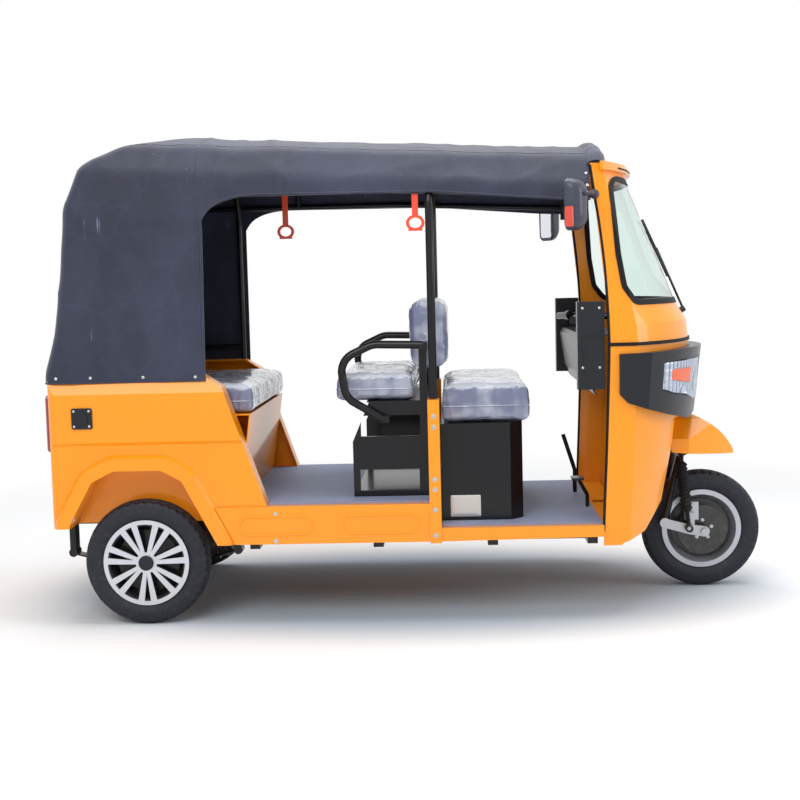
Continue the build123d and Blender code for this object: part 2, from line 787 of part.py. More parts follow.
# ================================================================ cab
cab_stations = (
    # z, rear edge x, half width, x where the side turns, nose x
    (cab_bottom_z, cab_rear_low_x, cab_half_w - 8, 835.0, cab_nose_low_x),
    (belt_z, cab_rear_mid_x, cab_half_w, 872.0, cab_nose_mid_x),
    (cowl_z, cab_rear_mid_x - 1, cab_half_w - 4.7, 866.0, cowl_nose_x),
    (cowl_top_z, cab_rear_mid_x - 4, cab_half_w - 8.5, 851.0, cowl_top_nose_x),
    (cab_top_z, cab_rear_top_x, cab_top_half_w, 742.0, cab_nose_top_x),
)


def cab_at(z):
    """Rear edge x, half width, turning x and nose x of the cab at height z."""
    for low, high in zip(cab_stations, cab_stations[1:]):
        if z <= high[0]:
            break
    share = (z - low[0]) / (high[0] - low[0])
    return [a + (b - a) * share for a, b in zip(low[1:], high[1:])]


def cab_plan(z, grow=0.0, behind=0.0):
    """U-shaped plan of the cab at height z, grown outward, its rear edge moved back."""
    rear_x, side_y, turn_x, nose_x = cab_at(z)
    rear_y = side_y + grow + cab_side_lean * behind / (turn_x - rear_x)
    turn_y = side_y + grow - cab_side_lean
    rear_x -= behind
    nose_x += grow
    with BuildSketch(Plane.XY.offset(z)) as plan:
        with BuildLine():
            Polyline((turn_x, -turn_y), (rear_x, -rear_y), (rear_x, rear_y), (turn_x, turn_y))
            ThreePointArc((turn_x, turn_y), (nose_x, 0), (turn_x, -turn_y))
        make_face()
    return plan.sketch


def cab_volume(z0, z1, grow=0.0, behind=0.0):
    """Solid bounded by the cab's surface between two heights."""
    heights = [z0] + [station[0] for station in cab_stations if z0 < station[0] < z1] + [z1]
    with BuildPart() as volume:
        loft([cab_plan(z, grow, behind) for z in heights], ruled=True)
    return volume.part


well_side_points = [
    (1400, well_top_z), (1053, well_top_z), (1038, 640), (985, 430), (905, 330), (812, 296),
    (780, cab_bottom_z - 20), (1400, cab_bottom_z - 20),
]
pocket_points = [
    (1400, well_top_z), (990, well_top_z), (965, 640), (912, 430), (880, 340),
    (866, cab_bottom_z - 20), (1400, cab_bottom_z - 20),
]
pocket_half_w = 245.0


def wheel_well(grow=0.0):
    """Space cut out of the nose for the wheel, deeper between the side panels."""
    with BuildPart() as well:
        with BuildSketch(side_plane(700)):
            with BuildLine():
                Polyline(*well_side_points, close=True)
            make_face()
            offset(amount=grow, kind=Kind.INTERSECTION)
        extrude(amount=1400)
        with BuildSketch(side_plane(pocket_half_w + grow)):
            with BuildLine():
                Polyline(*pocket_points, close=True)
            make_face()
            offset(amount=grow, kind=Kind.INTERSECTION)
        extrude(amount=2 * (pocket_half_w + grow))
    return well.part


with BuildPart() as cab_hollow:
    add(cab_volume(cab_bottom_z, belt_z, -cab_t, 40))
    add(wheel_well(cab_t), mode=Mode.SUBTRACT)
with BuildPart() as cab_lower:
    add(cab_volume(cab_bottom_z, belt_z))
    add(wheel_well(), mode=Mode.SUBTRACT)
    add(cab_hollow.part, mode=Mode.SUBTRACT)
    # passage for the spine and steering head
    side_prism(
        [(850, 560), (850, 680), (1000, 760), (1000, 900), (1125, 900), (1125, 620), (1000, 600)],
        -38, 38, mode=Mode.SUBTRACT,
    )
save(cab_lower, "cab_lower")

windscreen_points = [
    (1400, 1726), (766, 1726), (790, 1420), (812, 1290), (862, 1222), (1400, 1222),
]
windscreen_corner_r = 52.0
seal_w = 22.0


def windscreen_prism(inset=0.0):
    """Volume through the cab whose side outline is the windscreen opening, shrunk by inset."""
    with BuildPart() as prism:
        with BuildSketch(side_plane(700)) as opening:
            with BuildLine():
                Polyline(*windscreen_points, close=True)
            make_face()
            fillet(opening.vertices().sort_by(Axis.X)[:-2], radius=windscreen_corner_r)
            if inset:
                offset(amount=-inset, kind=Kind.INTERSECTION)
        extrude(amount=1400)
    return prism.part


brow_bottom_z = 1742.0
brow_proud = 28.0
with BuildPart() as cab_upper:
    add(cab_volume(belt_z + seat_gap, cab_top_z))
    add(cab_volume(belt_z, cab_top_z - cab_t, -cab_t, 40), mode=Mode.SUBTRACT)
    add(windscreen_prism(), mode=Mode.SUBTRACT)
    box_between(600, cab_rear_top_x + 60, -600, 600, cab_top_z - 6, cab_top_z + 1, mode=Mode.SUBTRACT)
    # peak over the windscreen
    with BuildPart(mode=Mode.PRIVATE) as brow:
        add(cab_volume(brow_bottom_z, cab_top_z, brow_proud))
        add(cab_volume(brow_bottom_z - 1, cab_top_z + 0, -0.5, 40), mode=Mode.SUBTRACT)
        box_between(600, 735, -700, 700, 1600, 1900, mode=Mode.SUBTRACT)
    add(brow.part)
save(cab_upper, "cab_upper")

with BuildPart() as windscreen:
    add(cab_volume(belt_z + 20, cab_top_z - 20, -1))
    add(cab_volume(belt_z + 10, cab_top_z - 10, -5, 40), mode=Mode.SUBTRACT)
    add(windscreen_prism(seal_w), mode=Mode.INTERSECT)
save(windscreen, "windscreen")

# rubber: seal round the windscreen, belt strip, door edge welt, wiper
with BuildPart() as cab_trim:
    add(cab_volume(belt_z + 20, cab_top_z - 2, 4))
    add(cab_volume(belt_z + 10, cab_top_z, -8, 40), mode=Mode.SUBTRACT)
    add(windscreen_prism(seat_gap), mode=Mode.INTERSECT)
    add(windscreen_prism(seal_w - seat_gap), mode=Mode.SUBTRACT)
    with BuildPart(mode=Mode.PRIVATE) as belt:
        add(cab_volume(belt_z + 1, belt_z + 14, 6))
        add(cab_volume(belt_z, belt_z + 20, 0.6, 40), mode=Mode.SUBTRACT)
    add(belt.part)
save(cab_trim, "cab_trim")

wiper_z = 1180.0
wiper_pivot_r = 13.0
blade_clear = 18.0
cowl_normal = Vector(cowl_top_z - cowl_z, 0, cowl_nose_x - cowl_top_nose_x).normalized()


def over_glass(z, y, clear):
    """Point at height z, this far ahead of the cab's centre line."""
    return Vector(cab_at(z)[-1] + clear, y, z)


with BuildPart() as wiper:
    pivot = over_glass(wiper_z, 0, 0)
    with BuildSketch(Plane(origin=pivot + cowl_normal * seat_gap, x_dir=(0, 1, 0), z_dir=cowl_normal)):
        Circle(wiper_pivot_r)
    extrude(amount=26)
    blade_low = over_glass(wiper_z + 150, -30, blade_clear)
    blade_top = over_glass(wiper_z + 390, 25, blade_clear)
    blade_mid = (blade_low + blade_top) * 0.5 + Vector(6, 0, 0)
    tube_run([pivot + cowl_normal * 20, blade_mid], 1, 5)
    tube_run([blade_low, blade_top], 1, 7)
save(wiper, "wiper")

# ================================================================ lamps and mudguard
housing_proud = 55.0
housing_points = [
    (798, 1036), (1130, 1046), (1400, 1046), (1400, 835), (1150, 775), (1108, 757),
    (1000, 790), (830, 846), (798, 880),
]
lens_points = [
    (0.36, 1.0), (0.93, 0.97), (0.925, 0.36), (0.82, 0.25), (0.64, 0.17), (0.43, 0.0), (0.31, 0.05),
]
lens_z0 = 822.0
lens_z1 = 1006.0


def lens_prism(sign, grow=0.0):
    """Volume along X whose front outline is one headlamp lens."""
    with BuildPart() as prism:
        with BuildSketch(cross_plane(700)) as outline:
            with BuildLine():
                Polyline(
                    *[(sign * y * cab_half_w, lens_z0 + z * (lens_z1 - lens_z0)) for y, z in lens_points],
                    close=True,
                )
            make_face()
            fillet(outline.vertices(), radius=10)
            if grow:
                offset(amount=grow)
        extrude(amount=700)
    return prism.part


with BuildPart() as headlamp_housing:
    add(cab_volume(cab_bottom_z, belt_z, housing_proud))
    side_prism(housing_points, -700, 700, mode=Mode.INTERSECT)
    box_between(700, 950, cab_half_w + 10, 800, 700, 1100, mode=Mode.SUBTRACT)
    box_between(700, 950, -800, -cab_half_w - 10, 700, 1100, mode=Mode.SUBTRACT)
    add(cab_volume(cab_bottom_z, belt_z, 0.8, 60), mode=Mode.SUBTRACT)
    with BuildPart(mode=Mode.PRIVATE) as pockets:
        for sign in (1, -1):
            add(lens_prism(sign, seat_gap))
        add(cab_volume(cab_bottom_z, belt_z, housing_proud - 18), mode=Mode.SUBTRACT)
    add(pockets.part, mode=Mode.SUBTRACT)
save(headlamp_housing, "headlamp_housing")

with BuildPart() as headlamps:
    add(cab_volume(cab_bottom_z, belt_z, housing_proud + 2))
    add(cab_volume(cab_bottom_z, belt_z, housing_proud - 18 + seat_gap, 60), mode=Mode.SUBTRACT)
    with BuildPart(mode=Mode.PRIVATE) as lens_pair:
        for sign in (1, -1):
            add(lens_prism(sign))
    add(lens_pair.part, mode=Mode.INTERSECT)
save(headlamps, "headlamps")

beak_rear_x = 1058.0
beak_half_w = 185.0
beak_tip_x = 1347.0
beak_tip_z = 578.0
beak_foot_z = 600.0
beak_ridge = ((1128.0, 756.0), (1236.0, 706.0), (1300.0, 644.0))
beak_turn_x = 1130.0
beak_turn_y = 112.0         # half width where the plan outline bends towards the tip
beak_lug_y = 44.0
beak_lug_w = 26.0


def beak_volume(inset=0.0, extra=0.0):
    """Prow-shaped mudguard: a ridge falling to the tip, with leaning sides below a crease."""
    top_z = well_top_z - inset - seat_gap
    tip_x = beak_tip_x - inset * 1.8
    with BuildPart() as beak:
        with BuildSketch(side_plane(300)):
            with BuildLine():
                Polyline(
                    (beak_ridge[0][0], top_z), (beak_rear_x - extra, top_z),
                    (beak_rear_x - extra, beak_foot_z - extra), (tip_x, beak_tip_z - 8 - extra),
                    (tip_x, beak_tip_z + 6),
                )
                ThreePointArc(
                    (tip_x, beak_tip_z + 6), (beak_ridge[1][0] - inset, beak_ridge[1][1] - inset),
                    (beak_ridge[0][0], top_z),
                )
            make_face()
        extrude(amount=600)
        with BuildSketch(Plane.XY.offset(500)):
            half = beak_half_w - inset
            turn = (beak_turn_x + 110 - inset, beak_turn_y - inset)
            with BuildLine():
                Polyline(
                    (beak_turn_x, -half), (beak_rear_x - extra, -half),
                    (beak_rear_x - extra, half), (beak_turn_x, half),
                )
                ThreePointArc((beak_turn_x, half), turn, (tip_x, 16))
                Line((tip_x, 16), (tip_x, -16))
                ThreePointArc((tip_x, -16), (turn[0], -turn[1]), (beak_turn_x, -half))
            make_face()
        extrude(amount=400, mode=Mode.INTERSECT)
        # gabled section: the sides lean in above the crease towards the ridge
        with BuildSketch(cross_plane(beak_rear_x - extra - 10)):
            with BuildLine():
                Polyline(
                    (-half, 400), (-half, 655 - inset), (-95, 728 - inset * 1.2), (-22, top_z),
                    (22, top_z), (95, 728 - inset * 1.2), (half, 655 - inset), (half, 400),
                    close=True,
                )
            make_face()
        extrude(amount=400, mode=Mode.INTERSECT)
    return beak.part


with BuildPart() as front_mudguard:
    add(beak_volume())
    add(beak_volume(4.0, 30), mode=Mode.SUBTRACT)
    box_between(beak_rear_x - 1, 1104, -38, 38, well_top_z - 20, well_top_z + 1, mode=Mode.SUBTRACT)
    # two lugs that bolt up under the cab
    for y in (beak_lug_y, -beak_lug_y - beak_lug_w):
        box_between(beak_rear_x + 4, 1100, y, y + beak_lug_w, 736, well_top_z - seat_gap)
save(front_mudguard, "front_mudguard")

# ================================================================ dashboard, controls
dash_top_z = 1108.0
dash_low_z = 880.0
dash_half_w = 543.8
with BuildPart() as dashboard:
    side_prism(
        [(668, dash_top_z), (655, dash_top_z - 25), (672, dash_low_z + 60), (705, dash_low_z),
         (712, dash_low_z), (682, dash_low_z + 62), (665, dash_top_z - 28), (672, dash_top_z - 6),
         (800, dash_top_z + 4), (800, dash_top_z + 10)],
        -dash_half_w, dash_half_w,
    )
    for sign in (1, -1):
        y = sign * (dash_half_w - 30)
        box_between(640, 745, y - 25, y + 25, dash_low_z + 20, 1240)
save(dashboard, "dashboard")

pedal_foot_z = front_floor_z + mat_t + seat_gap
with BuildPart() as controls:
    tube_run([(706, -190, pedal_foot_z), (706, -190, 430), (668, -190, 500)], 20, 8)
    box_between(640, 690, -225, -155, 496, 506)
    tube_run([(690, 190, pedal_foot_z), (690, 190, 480), (640, 190, 640)], 30, 9)
save(controls, "driver_controls")

# ================================================================ seats
with BuildPart() as rear_seat_base:
    side_prism(
        ribbon(
            [(body_rear_x + 45, deck_z), (deck_front_x, deck_z), (bulkhead_foot_x, rear_floor_z + 1)],
            0, -sheet_t,
        ),
        -back_half, back_half,
    )
save(rear_seat_base, "rear_seat_base")

with BuildPart() as rear_seat_cushion:
    box_between(-1120, -625, -478, 478, deck_z + seat_gap, 945)
    fillet(rear_seat_cushion.edges().filter_by(Axis.Y).group_by(Axis.Z)[-1], radius=30)
save(rear_seat_cushion, "rear_seat_cushion")

with BuildPart() as rear_seat_back:
    side_prism(
        [(-1121, deck_z + seat_gap), (-1121, 950), (-1178, 1380), (-1260, 1368), (-1205, deck_z + seat_gap)],
        -478, 478,
    )
save(rear_seat_back, "rear_seat_back")

bench_half_w = 420.0
bench_rear_x = -250.0
bench_front_x = 52.0
bench_top_z = 862.0
bench_floor_z = rear_floor_z + mat_t + seat_gap
with BuildPart() as middle_seat_frame:
    with BuildSketch(side_plane(bench_half_w)):
        with BuildLine():
            Polyline(
                (bench_rear_x, bench_floor_z), (bench_rear_x, 700), (bench_rear_x + 70, bench_top_z),
                (bench_front_x, bench_top_z), (bench_front_x, bench_floor_z), close=True,
            )
        make_face()
        with Locations((-98, 762), (-104, 545)):
            Rectangle(238, 84, mode=Mode.SUBTRACT)
    extrude(amount=20)
    box_between(bench_front_x - 30, bench_front_x, bench_half_w - 20, bench_half_w, bench_top_z, 1062)
    loop_points = [
        (bench_front_x - 12, bench_half_w - 10, 1045), (bench_front_x - 12, bench_half_w + 22, 1084),
        (-160, bench_half_w + 22, 1090), (-292, bench_half_w + 22, 1030),
        (-270, bench_half_w + 22, 880), (-120, bench_half_w + 22, 790), (-105, bench_half_w - 10, 790),
    ]
    tube_run(loop_points[1:6], (90, 80, 80), 16)
    box_between(
        bench_front_x - 28, bench_front_x + 4, bench_half_w - 20, bench_half_w + 36, 1060, 1096
    )
    box_between(-140, -100, bench_half_w - 10, bench_half_w + 32, 778, 806)
    mirror(about=Plane.XZ)
    inner = bench_half_w - 15
    for x0, x1, z0, z1 in (
        (bench_rear_x + 60, bench_front_x, bench_top_z - 6, bench_top_z),
        (bench_front_x - 6, bench_front_x, bench_floor_z, bench_top_z),
        (bench_rear_x, bench_front_x, bench_floor_z, bench_floor_z + 5),
    ):
        box_between(x0, x1, -inner, inner, z0, z1)
save(middle_seat_frame, "middle_seat_frame")

with BuildPart() as middle_seat_cushion:
    box_between(-326, 12, -470 + 60, 410, bench_top_z + seat_gap, 972)
    fillet(middle_seat_cushion.edges().filter_by(Axis.Y).group_by(Axis.Z)[-1], radius=30)
save(middle_seat_cushion, "middle_seat_cushion")

box_rear_x = step_x + 2
box_front_x = 428.0
box_top_z = 768.0
box_floor_z = front_floor_z + mat_t + seat_gap
box_half_w = 450.0
with BuildPart() as driver_seat_box:
    with BuildSketch(Plane.XY.offset(box_floor_z)):
        with BuildLine():
            Polyline(
                (box_rear_x, -box_half_w), (box_front_x - 50, -box_half_w), (box_front_x, -box_half_w + 50),
                (box_front_x, box_half_w - 50), (box_front_x - 50, box_half_w), (box_rear_x, box_half_w),
                close=True,
            )
        make_face()
    extrude(amount=box_top_z - box_floor_z)
    offset(amount=-3, openings=driver_seat_box.faces().sort_by(Axis.Z)[0], kind=Kind.INTERSECTION)
save(driver_seat_box, "driver_seat_box")

with BuildPart() as battery_pack:
    box_between(box_rear_x + 30, box_front_x - 60, -330, 330, box_floor_z, box_floor_z + 240)
save(battery_pack, "battery_pack")

with BuildPart() as driver_cushion:
    box_between(101, 470, -430, 430, box_top_z + seat_gap, 922)
    fillet(driver_cushion.edges().filter_by(Axis.Y).group_by(Axis.Z)[-1], radius=30)
save(driver_cushion, "driver_cushion")

with BuildPart() as backrest:
    box_between(-12, 136, -400, 400, 976, 1272)
    fillet(backrest.edges().filter_by(Axis.Y), radius=40)
save(backrest, "backrest")

# ================================================================ roof frame
bar_r_roof = 12.0


def roof_z(x):
    """Height of the canopy's crown at x."""
    return canopy_crown_z - canopy_fall * (x + 880)


def rail_z(x):
    """Height of the roof's side rails at x: level, then falling to the header."""
    return rail_roof_z - (rail_roof_z - rail_header_z) * max(0, x - rail_bend_x) / (header_x - rail_bend_x)


def bow(x, foot_z, r, lower=0.0, half=post_y):
    """Hoop across the cabin: two posts and a header under the canopy."""
    top = roof_z(x) - 85 - lower
    points = [
        (x, -half, foot_z), (x, -half, 1650), (x, -430, top), (x, 430, top),
        (x, half, 1650), (x, half, foot_z),
    ]
    tube_run(points, (60, 60, 60, 60), r)


quarter_post_x = quarter_front_x - 22
rear_post_x = -1278.0
header_x = 680.0
grab_bow_x = -545.0
rail_roof_z = 1690.0
rail_header_z = 1655.0
rail_bend_x = -100.0
with BuildPart() as roof_frame:
    bow(post_x, bracket_top_z - 75, post_r)
    bow(quarter_post_x, body_top_z + seat_gap, bar_r_roof)
    bow(rear_post_x, body_top_z + seat_gap, bar_r_roof, 140)
    bow(header_x, 1600, bar_r_roof, half=post_y - 7)
    for y in (-post_y + 4, post_y - 4):
        tube_run(
            [(rear_post_x, y, rail_roof_z), (rail_bend_x, y, rail_roof_z), (header_x, y, rail_header_z)],
            400, bar_r_roof,
        )
        tube_run([(quarter_post_x, y, 1050), (rear_post_x, y, 1050)], 1, bar_r_roof)
    grab_bow_top = roof_z(grab_bow_x) - 85
    tube_run(
        [(grab_bow_x, -post_y + 4, rail_roof_z), (grab_bow_x, -430, grab_bow_top),
         (grab_bow_x, 430, grab_bow_top), (grab_bow_x, post_y - 4, rail_roof_z)],
        (60, 60), bar_r_roof,
    )
    # bar behind the rear seat back
    tube_run([(rear_post_x, -post_y, 1320), (rear_post_x, post_y, 1320)], 1, bar_r_roof)
save(roof_frame, "roof_frame")

# ================================================================ canopy
canopy_rear_points = [
    (-1447.5, canopy_hem_z), (-1447.5, 1000), (-1407, 1165), (-1378, 1371), (-1361, 1553),
    (-1356, 1645),
]


def canopy_volume(inset=0.0, below=0.0, front_extra=0.0):
    """Tent bounded by an arched roof that falls forward, leaning sides and a stepped back."""
    start_x = -1500.0
    lift = canopy_fall * (-880 - start_x)
    with BuildPart() as tent:
        with BuildSketch(cross_plane(start_x)) as section:
            with BuildLine():
                sides = [
                    (canopy_hem_half_w + 5, canopy_hem_z - 150),
                    (canopy_waist_half_w, canopy_waist_z + lift),
                    (canopy_shoulder_half_w, canopy_shoulder_z + lift),
                    (canopy_eave_half_w, canopy_eave_z + lift),
                ]
                Polyline(*sides)
                ThreePointArc(sides[-1], (0, canopy_crown_z + lift), (-sides[-1][0], sides[-1][1]))
                Polyline(*[(-y, z) for y, z in sides[::-1]])
                Line((-sides[0][0], sides[0][1]), sides[0])
            make_face()
            fillet(section.vertices().group_by(Axis.Z)[2:4], radius=70)
            if inset:
                offset(amount=-inset)
        extrude(amount=2350, dir=Vector(1, 0, -canopy_fall))
        rear = [(x + inset, z) for x, z in canopy_rear_points]
        rear[0] = (rear[0][0] - below * 0.2, rear[0][1] - below)
        side = rear + [
            (-1292 + inset, 1818 - inset), (-1128, 1908 - inset), (-880, canopy_crown_z - inset),
            (-870, 2100), (742 - inset, 2100), (768 - inset, 1850), (760 - inset, cab_top_z + seat_gap),
            (canopy_front_x + front_extra, cab_top_z + seat_gap),
            (canopy_front_x + front_extra, canopy_hem_z - below),
        ]
        with BuildSketch(side_plane(900)) as outline:
            with BuildLine():
                Polyline(*side, close=True)
            make_face()
        extrude(amount=1800, mode=Mode.INTERSECT)
    return tent.part


with BuildPart() as canopy:
    add(canopy_volume())
    add(canopy_volume(canopy_t, 40, 40), mode=Mode.SUBTRACT)
    box_between(canopy_front_x - 20, 735, -480, 480, cab_top_z - 40, cab_top_z + 20, mode=Mode.SUBTRACT)
    # door openings
    with BuildSketch(side_plane(800)):
        with BuildLine():
            Line((quarter_front_x, 900), (quarter_front_x + 5, 1590))
            ThreePointArc((quarter_front_x + 5, 1590), (-752, 1656), (-600, skirt_z + 6))
            Polyline(
                (-600, skirt_z + 6), (84, skirt_z), (577, skirt_front_z), (900, skirt_front_z - 20),
                (900, 900), (quarter_front_x, 900),
            )
        make_face()
    extrude(amount=1600, mode=Mode.SUBTRACT)
save(canopy, "canopy")

# ================================================================ grab handles and mirrors
strap_w = 24.0
ring_r = 36.0
ring_z = 1560.0
grab_front_x = post_x - post_r - ring_r - 2
with BuildPart() as grab_handles:
    for x, y in ((grab_bow_x, 0.0), (grab_front_x, -post_y + 4)):
        bar_z = grab_bow_top if y == 0.0 else rail_z(x + strap_w / 2)
        z_top = bar_z - bar_r_roof - seat_gap
        strap_low = ring_z + ring_r * 0.86 - 5
        with BuildSketch(side_plane(y + 3)):
            with Locations((x, (z_top + strap_low) / 2)):
                Rectangle(strap_w, z_top - strap_low)
        extrude(amount=6)
        with BuildSketch(side_plane(y + 6)):
            with Locations((x, ring_z)):
                Ellipse(ring_r, ring_r * 0.86)
                with Locations((0, -ring_r * 0.5)):
                    Rectangle(ring_r * 1.5, ring_r * 0.7)
                Ellipse(ring_r - 12, ring_r * 0.86 - 11, mode=Mode.SUBTRACT)
        extrude(amount=12)
save(grab_handles, "grab_handles")

mirror_y = 655.0
with BuildPart() as mirrors:
    with BuildSketch(cross_plane(612)):
        with Locations((mirror_y, 1606)):
            RectangleRounded(110, 195, 28)
    extrude(amount=32, taper=14)
    tube_run([(625, mirror_y - 20, 1650), (650, 590, 1660), (712, 530, 1650)], 20, 7)
    box_between(698, 726, 523.8, 531, 1632, 1668)
    mirror(about=Plane.XZ)
save(mirrors, "mirrors")
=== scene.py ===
"""Dressed model of an electric passenger rickshaw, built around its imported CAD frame."""
import json
import math

import bmesh
import bpy
from mathutils import Matrix, Vector, noise
from mathutils.bvhtree import BVHTree


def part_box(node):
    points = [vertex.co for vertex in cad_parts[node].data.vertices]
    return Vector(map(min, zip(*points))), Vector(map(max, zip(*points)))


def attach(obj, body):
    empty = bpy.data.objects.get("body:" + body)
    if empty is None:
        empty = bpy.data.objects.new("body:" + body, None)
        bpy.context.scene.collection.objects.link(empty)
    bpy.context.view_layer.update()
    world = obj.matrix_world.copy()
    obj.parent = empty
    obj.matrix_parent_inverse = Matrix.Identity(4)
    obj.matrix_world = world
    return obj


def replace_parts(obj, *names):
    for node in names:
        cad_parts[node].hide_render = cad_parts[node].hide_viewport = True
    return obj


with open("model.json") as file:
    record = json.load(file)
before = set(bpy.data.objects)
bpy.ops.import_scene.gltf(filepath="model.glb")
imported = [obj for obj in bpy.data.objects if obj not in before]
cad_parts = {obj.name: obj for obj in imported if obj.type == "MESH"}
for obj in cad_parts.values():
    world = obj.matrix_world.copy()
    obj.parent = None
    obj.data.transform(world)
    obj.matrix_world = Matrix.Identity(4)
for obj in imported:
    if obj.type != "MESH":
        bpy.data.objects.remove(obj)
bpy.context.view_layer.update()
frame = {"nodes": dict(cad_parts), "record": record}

bl_info = {
    "name": "Passenger rickshaw dressing",
    "version": (1, 0, 0),
    "blender": (4, 5, 0),
    "location": "3D View > Sidebar > Rickshaw",
    "description": "Adds fabric, pads, tyres, fasteners and finishes to a rickshaw's CAD frame",
    "category": "Object",
}

MM = 0.001
UP = Vector((0, 0, 1))
SIDES = (1, -1)
NODES = frame["nodes"]
MATERIALS = {}


def mm(x, y, z):
    """Point in metres from millimetres."""
    return Vector((x * MM, y * MM, z * MM))


def flat(x, y):
    """Point of a plane drawing."""
    return Vector((x, y, 0.0))


def srgb(r, g, b):
    """Linear colour of an sRGB one given in steps of 0 to 255."""
    def linear(value):
        value /= 255
        return value / 12.92 if value <= 0.04045 else ((value + 0.055) / 1.055) ** 2.4
    return (linear(r), linear(g), linear(b), 1.0)


# ---------------------------------------------------------------- settings
class RickshawSettings(bpy.types.PropertyGroup):
    """Dimensions and looks that the operators share."""
    sag: bpy.props.FloatProperty(
        name="Canopy sag", description="Fall of the cloth between two bows",
        default=0.004, unit="LENGTH", subtype="DISTANCE")
    cloth_thickness: bpy.props.FloatProperty(
        name="Cloth thickness", description="Thickness of the canopy's coated cloth",
        default=0.003, unit="LENGTH", subtype="DISTANCE")
    pad_pressure: bpy.props.FloatProperty(
        name="Pad pressure", description="Inflation that swells a pad's cover", default=4.0)
    crinkle: bpy.props.FloatProperty(
        name="Film crinkle", description="Height of the folds in the pads' clear film",
        default=0.0026, unit="LENGTH", subtype="DISTANCE")
    tread_depth: bpy.props.FloatProperty(
        name="Tread depth", description="Depth of the tyres' grooves",
        default=0.005, unit="LENGTH", subtype="DISTANCE")
    key_power: bpy.props.FloatProperty(
        name="Key power", description="Power of the large lamp above the near side",
        default=190.0, subtype="NONE")


# ---------------------------------------------------------------- shader node helpers
def connect(tree, sockets, **values):
    """Feed sockets with links or values; a key is a name with _ for a space, or i and a number."""
    for key, value in values.items():
        numbered = key[0] == "i" and key[1:].isdigit()
        socket = sockets[int(key[1:])] if numbered else sockets[key.replace("_", " ")]
        if isinstance(value, bpy.types.NodeSocket):
            tree.links.new(value, socket)
        else:
            socket.default_value = value


def add(tree, kind, props=None, **inputs):
    """New shader node with its properties and inputs."""
    made = tree.nodes.new("ShaderNode" + kind)
    for key, value in (props or {}).items():
        setattr(made, key, value)
    connect(tree, made.inputs, **inputs)
    return made


def maths(tree, operation, a, b=0.0, clamp=False):
    """Result of a Math node."""
    return add(tree, "Math", {"operation": operation, "use_clamp": clamp}, i0=a, i1=b).outputs[0]


def times(tree, a, b):
    """Product of two values."""
    return maths(tree, "MULTIPLY", a, b)


def mix_colour(tree, factor, a, b, blend="MIX"):
    """Colour between a and b."""
    return add(tree, "Mix", {"data_type": "RGBA", "blend_type": blend}, i0=factor, i6=a, i7=b).outputs[2]


def shaded(tree, colour, shade):
    """Colour made lighter or darker by a value around 1."""
    grey = add(tree, "CombineColor", Red=shade, Green=shade, Blue=shade).outputs[0]
    return mix_colour(tree, 1.0, colour, grey, "MULTIPLY")


def ramp(tree, factor, low, high, out_low=0.0, out_high=1.0):
    """Value that goes smoothly from out_low to out_high as factor goes from low to high."""
    return add(
        tree, "MapRange", {"interpolation_type": "SMOOTHSTEP"}, Value=factor,
        From_Min=low, From_Max=high, To_Min=out_low, To_Max=out_high).outputs[0]


def mapped(tree, scale=(1, 1, 1), angle=(0, 0, 0)):
    """Object coordinates, turned and scaled."""
    coords = add(tree, "TexCoord").outputs["Object"]
    return add(tree, "Mapping", Vector=coords, Scale=scale, Rotation=angle).outputs[0]


def clouds(tree, where, scale, detail, output=0, props=None, **more):
    """Noise texture's value, or its colour with output 1."""
    return add(tree, "TexNoise", props, Vector=where, Scale=scale, Detail=detail, **more).outputs[output]


def bent_by(tree, drift, amount, coords):
    """Coordinates pushed about by a noise colour."""
    return add(
        tree, "VectorMath", {"operation": "MULTIPLY_ADD"}, i0=drift, i1=(amount,) * 3, i2=coords).outputs[0]


def new_group(name, inputs, outputs):
    """Empty node group with named sockets; returns the tree, its inputs' and outputs' sockets."""
    tree = bpy.data.node_groups.new(name, "ShaderNodeTree")
    for label, kind, value in inputs:
        socket = tree.interface.new_socket(label, in_out="INPUT", socket_type="NodeSocket" + kind)
        socket.default_value = value
    for label, kind in outputs:
        tree.interface.new_socket(label, in_out="OUTPUT", socket_type="NodeSocket" + kind)
    return tree, tree.nodes.new("NodeGroupInput").outputs, tree.nodes.new("NodeGroupOutput").inputs


def use_group(tree, name, **inputs):
    """Outputs of a node group used in a material."""
    return add(tree, "Group", {"node_tree": bpy.data.node_groups[name]}, **inputs).outputs


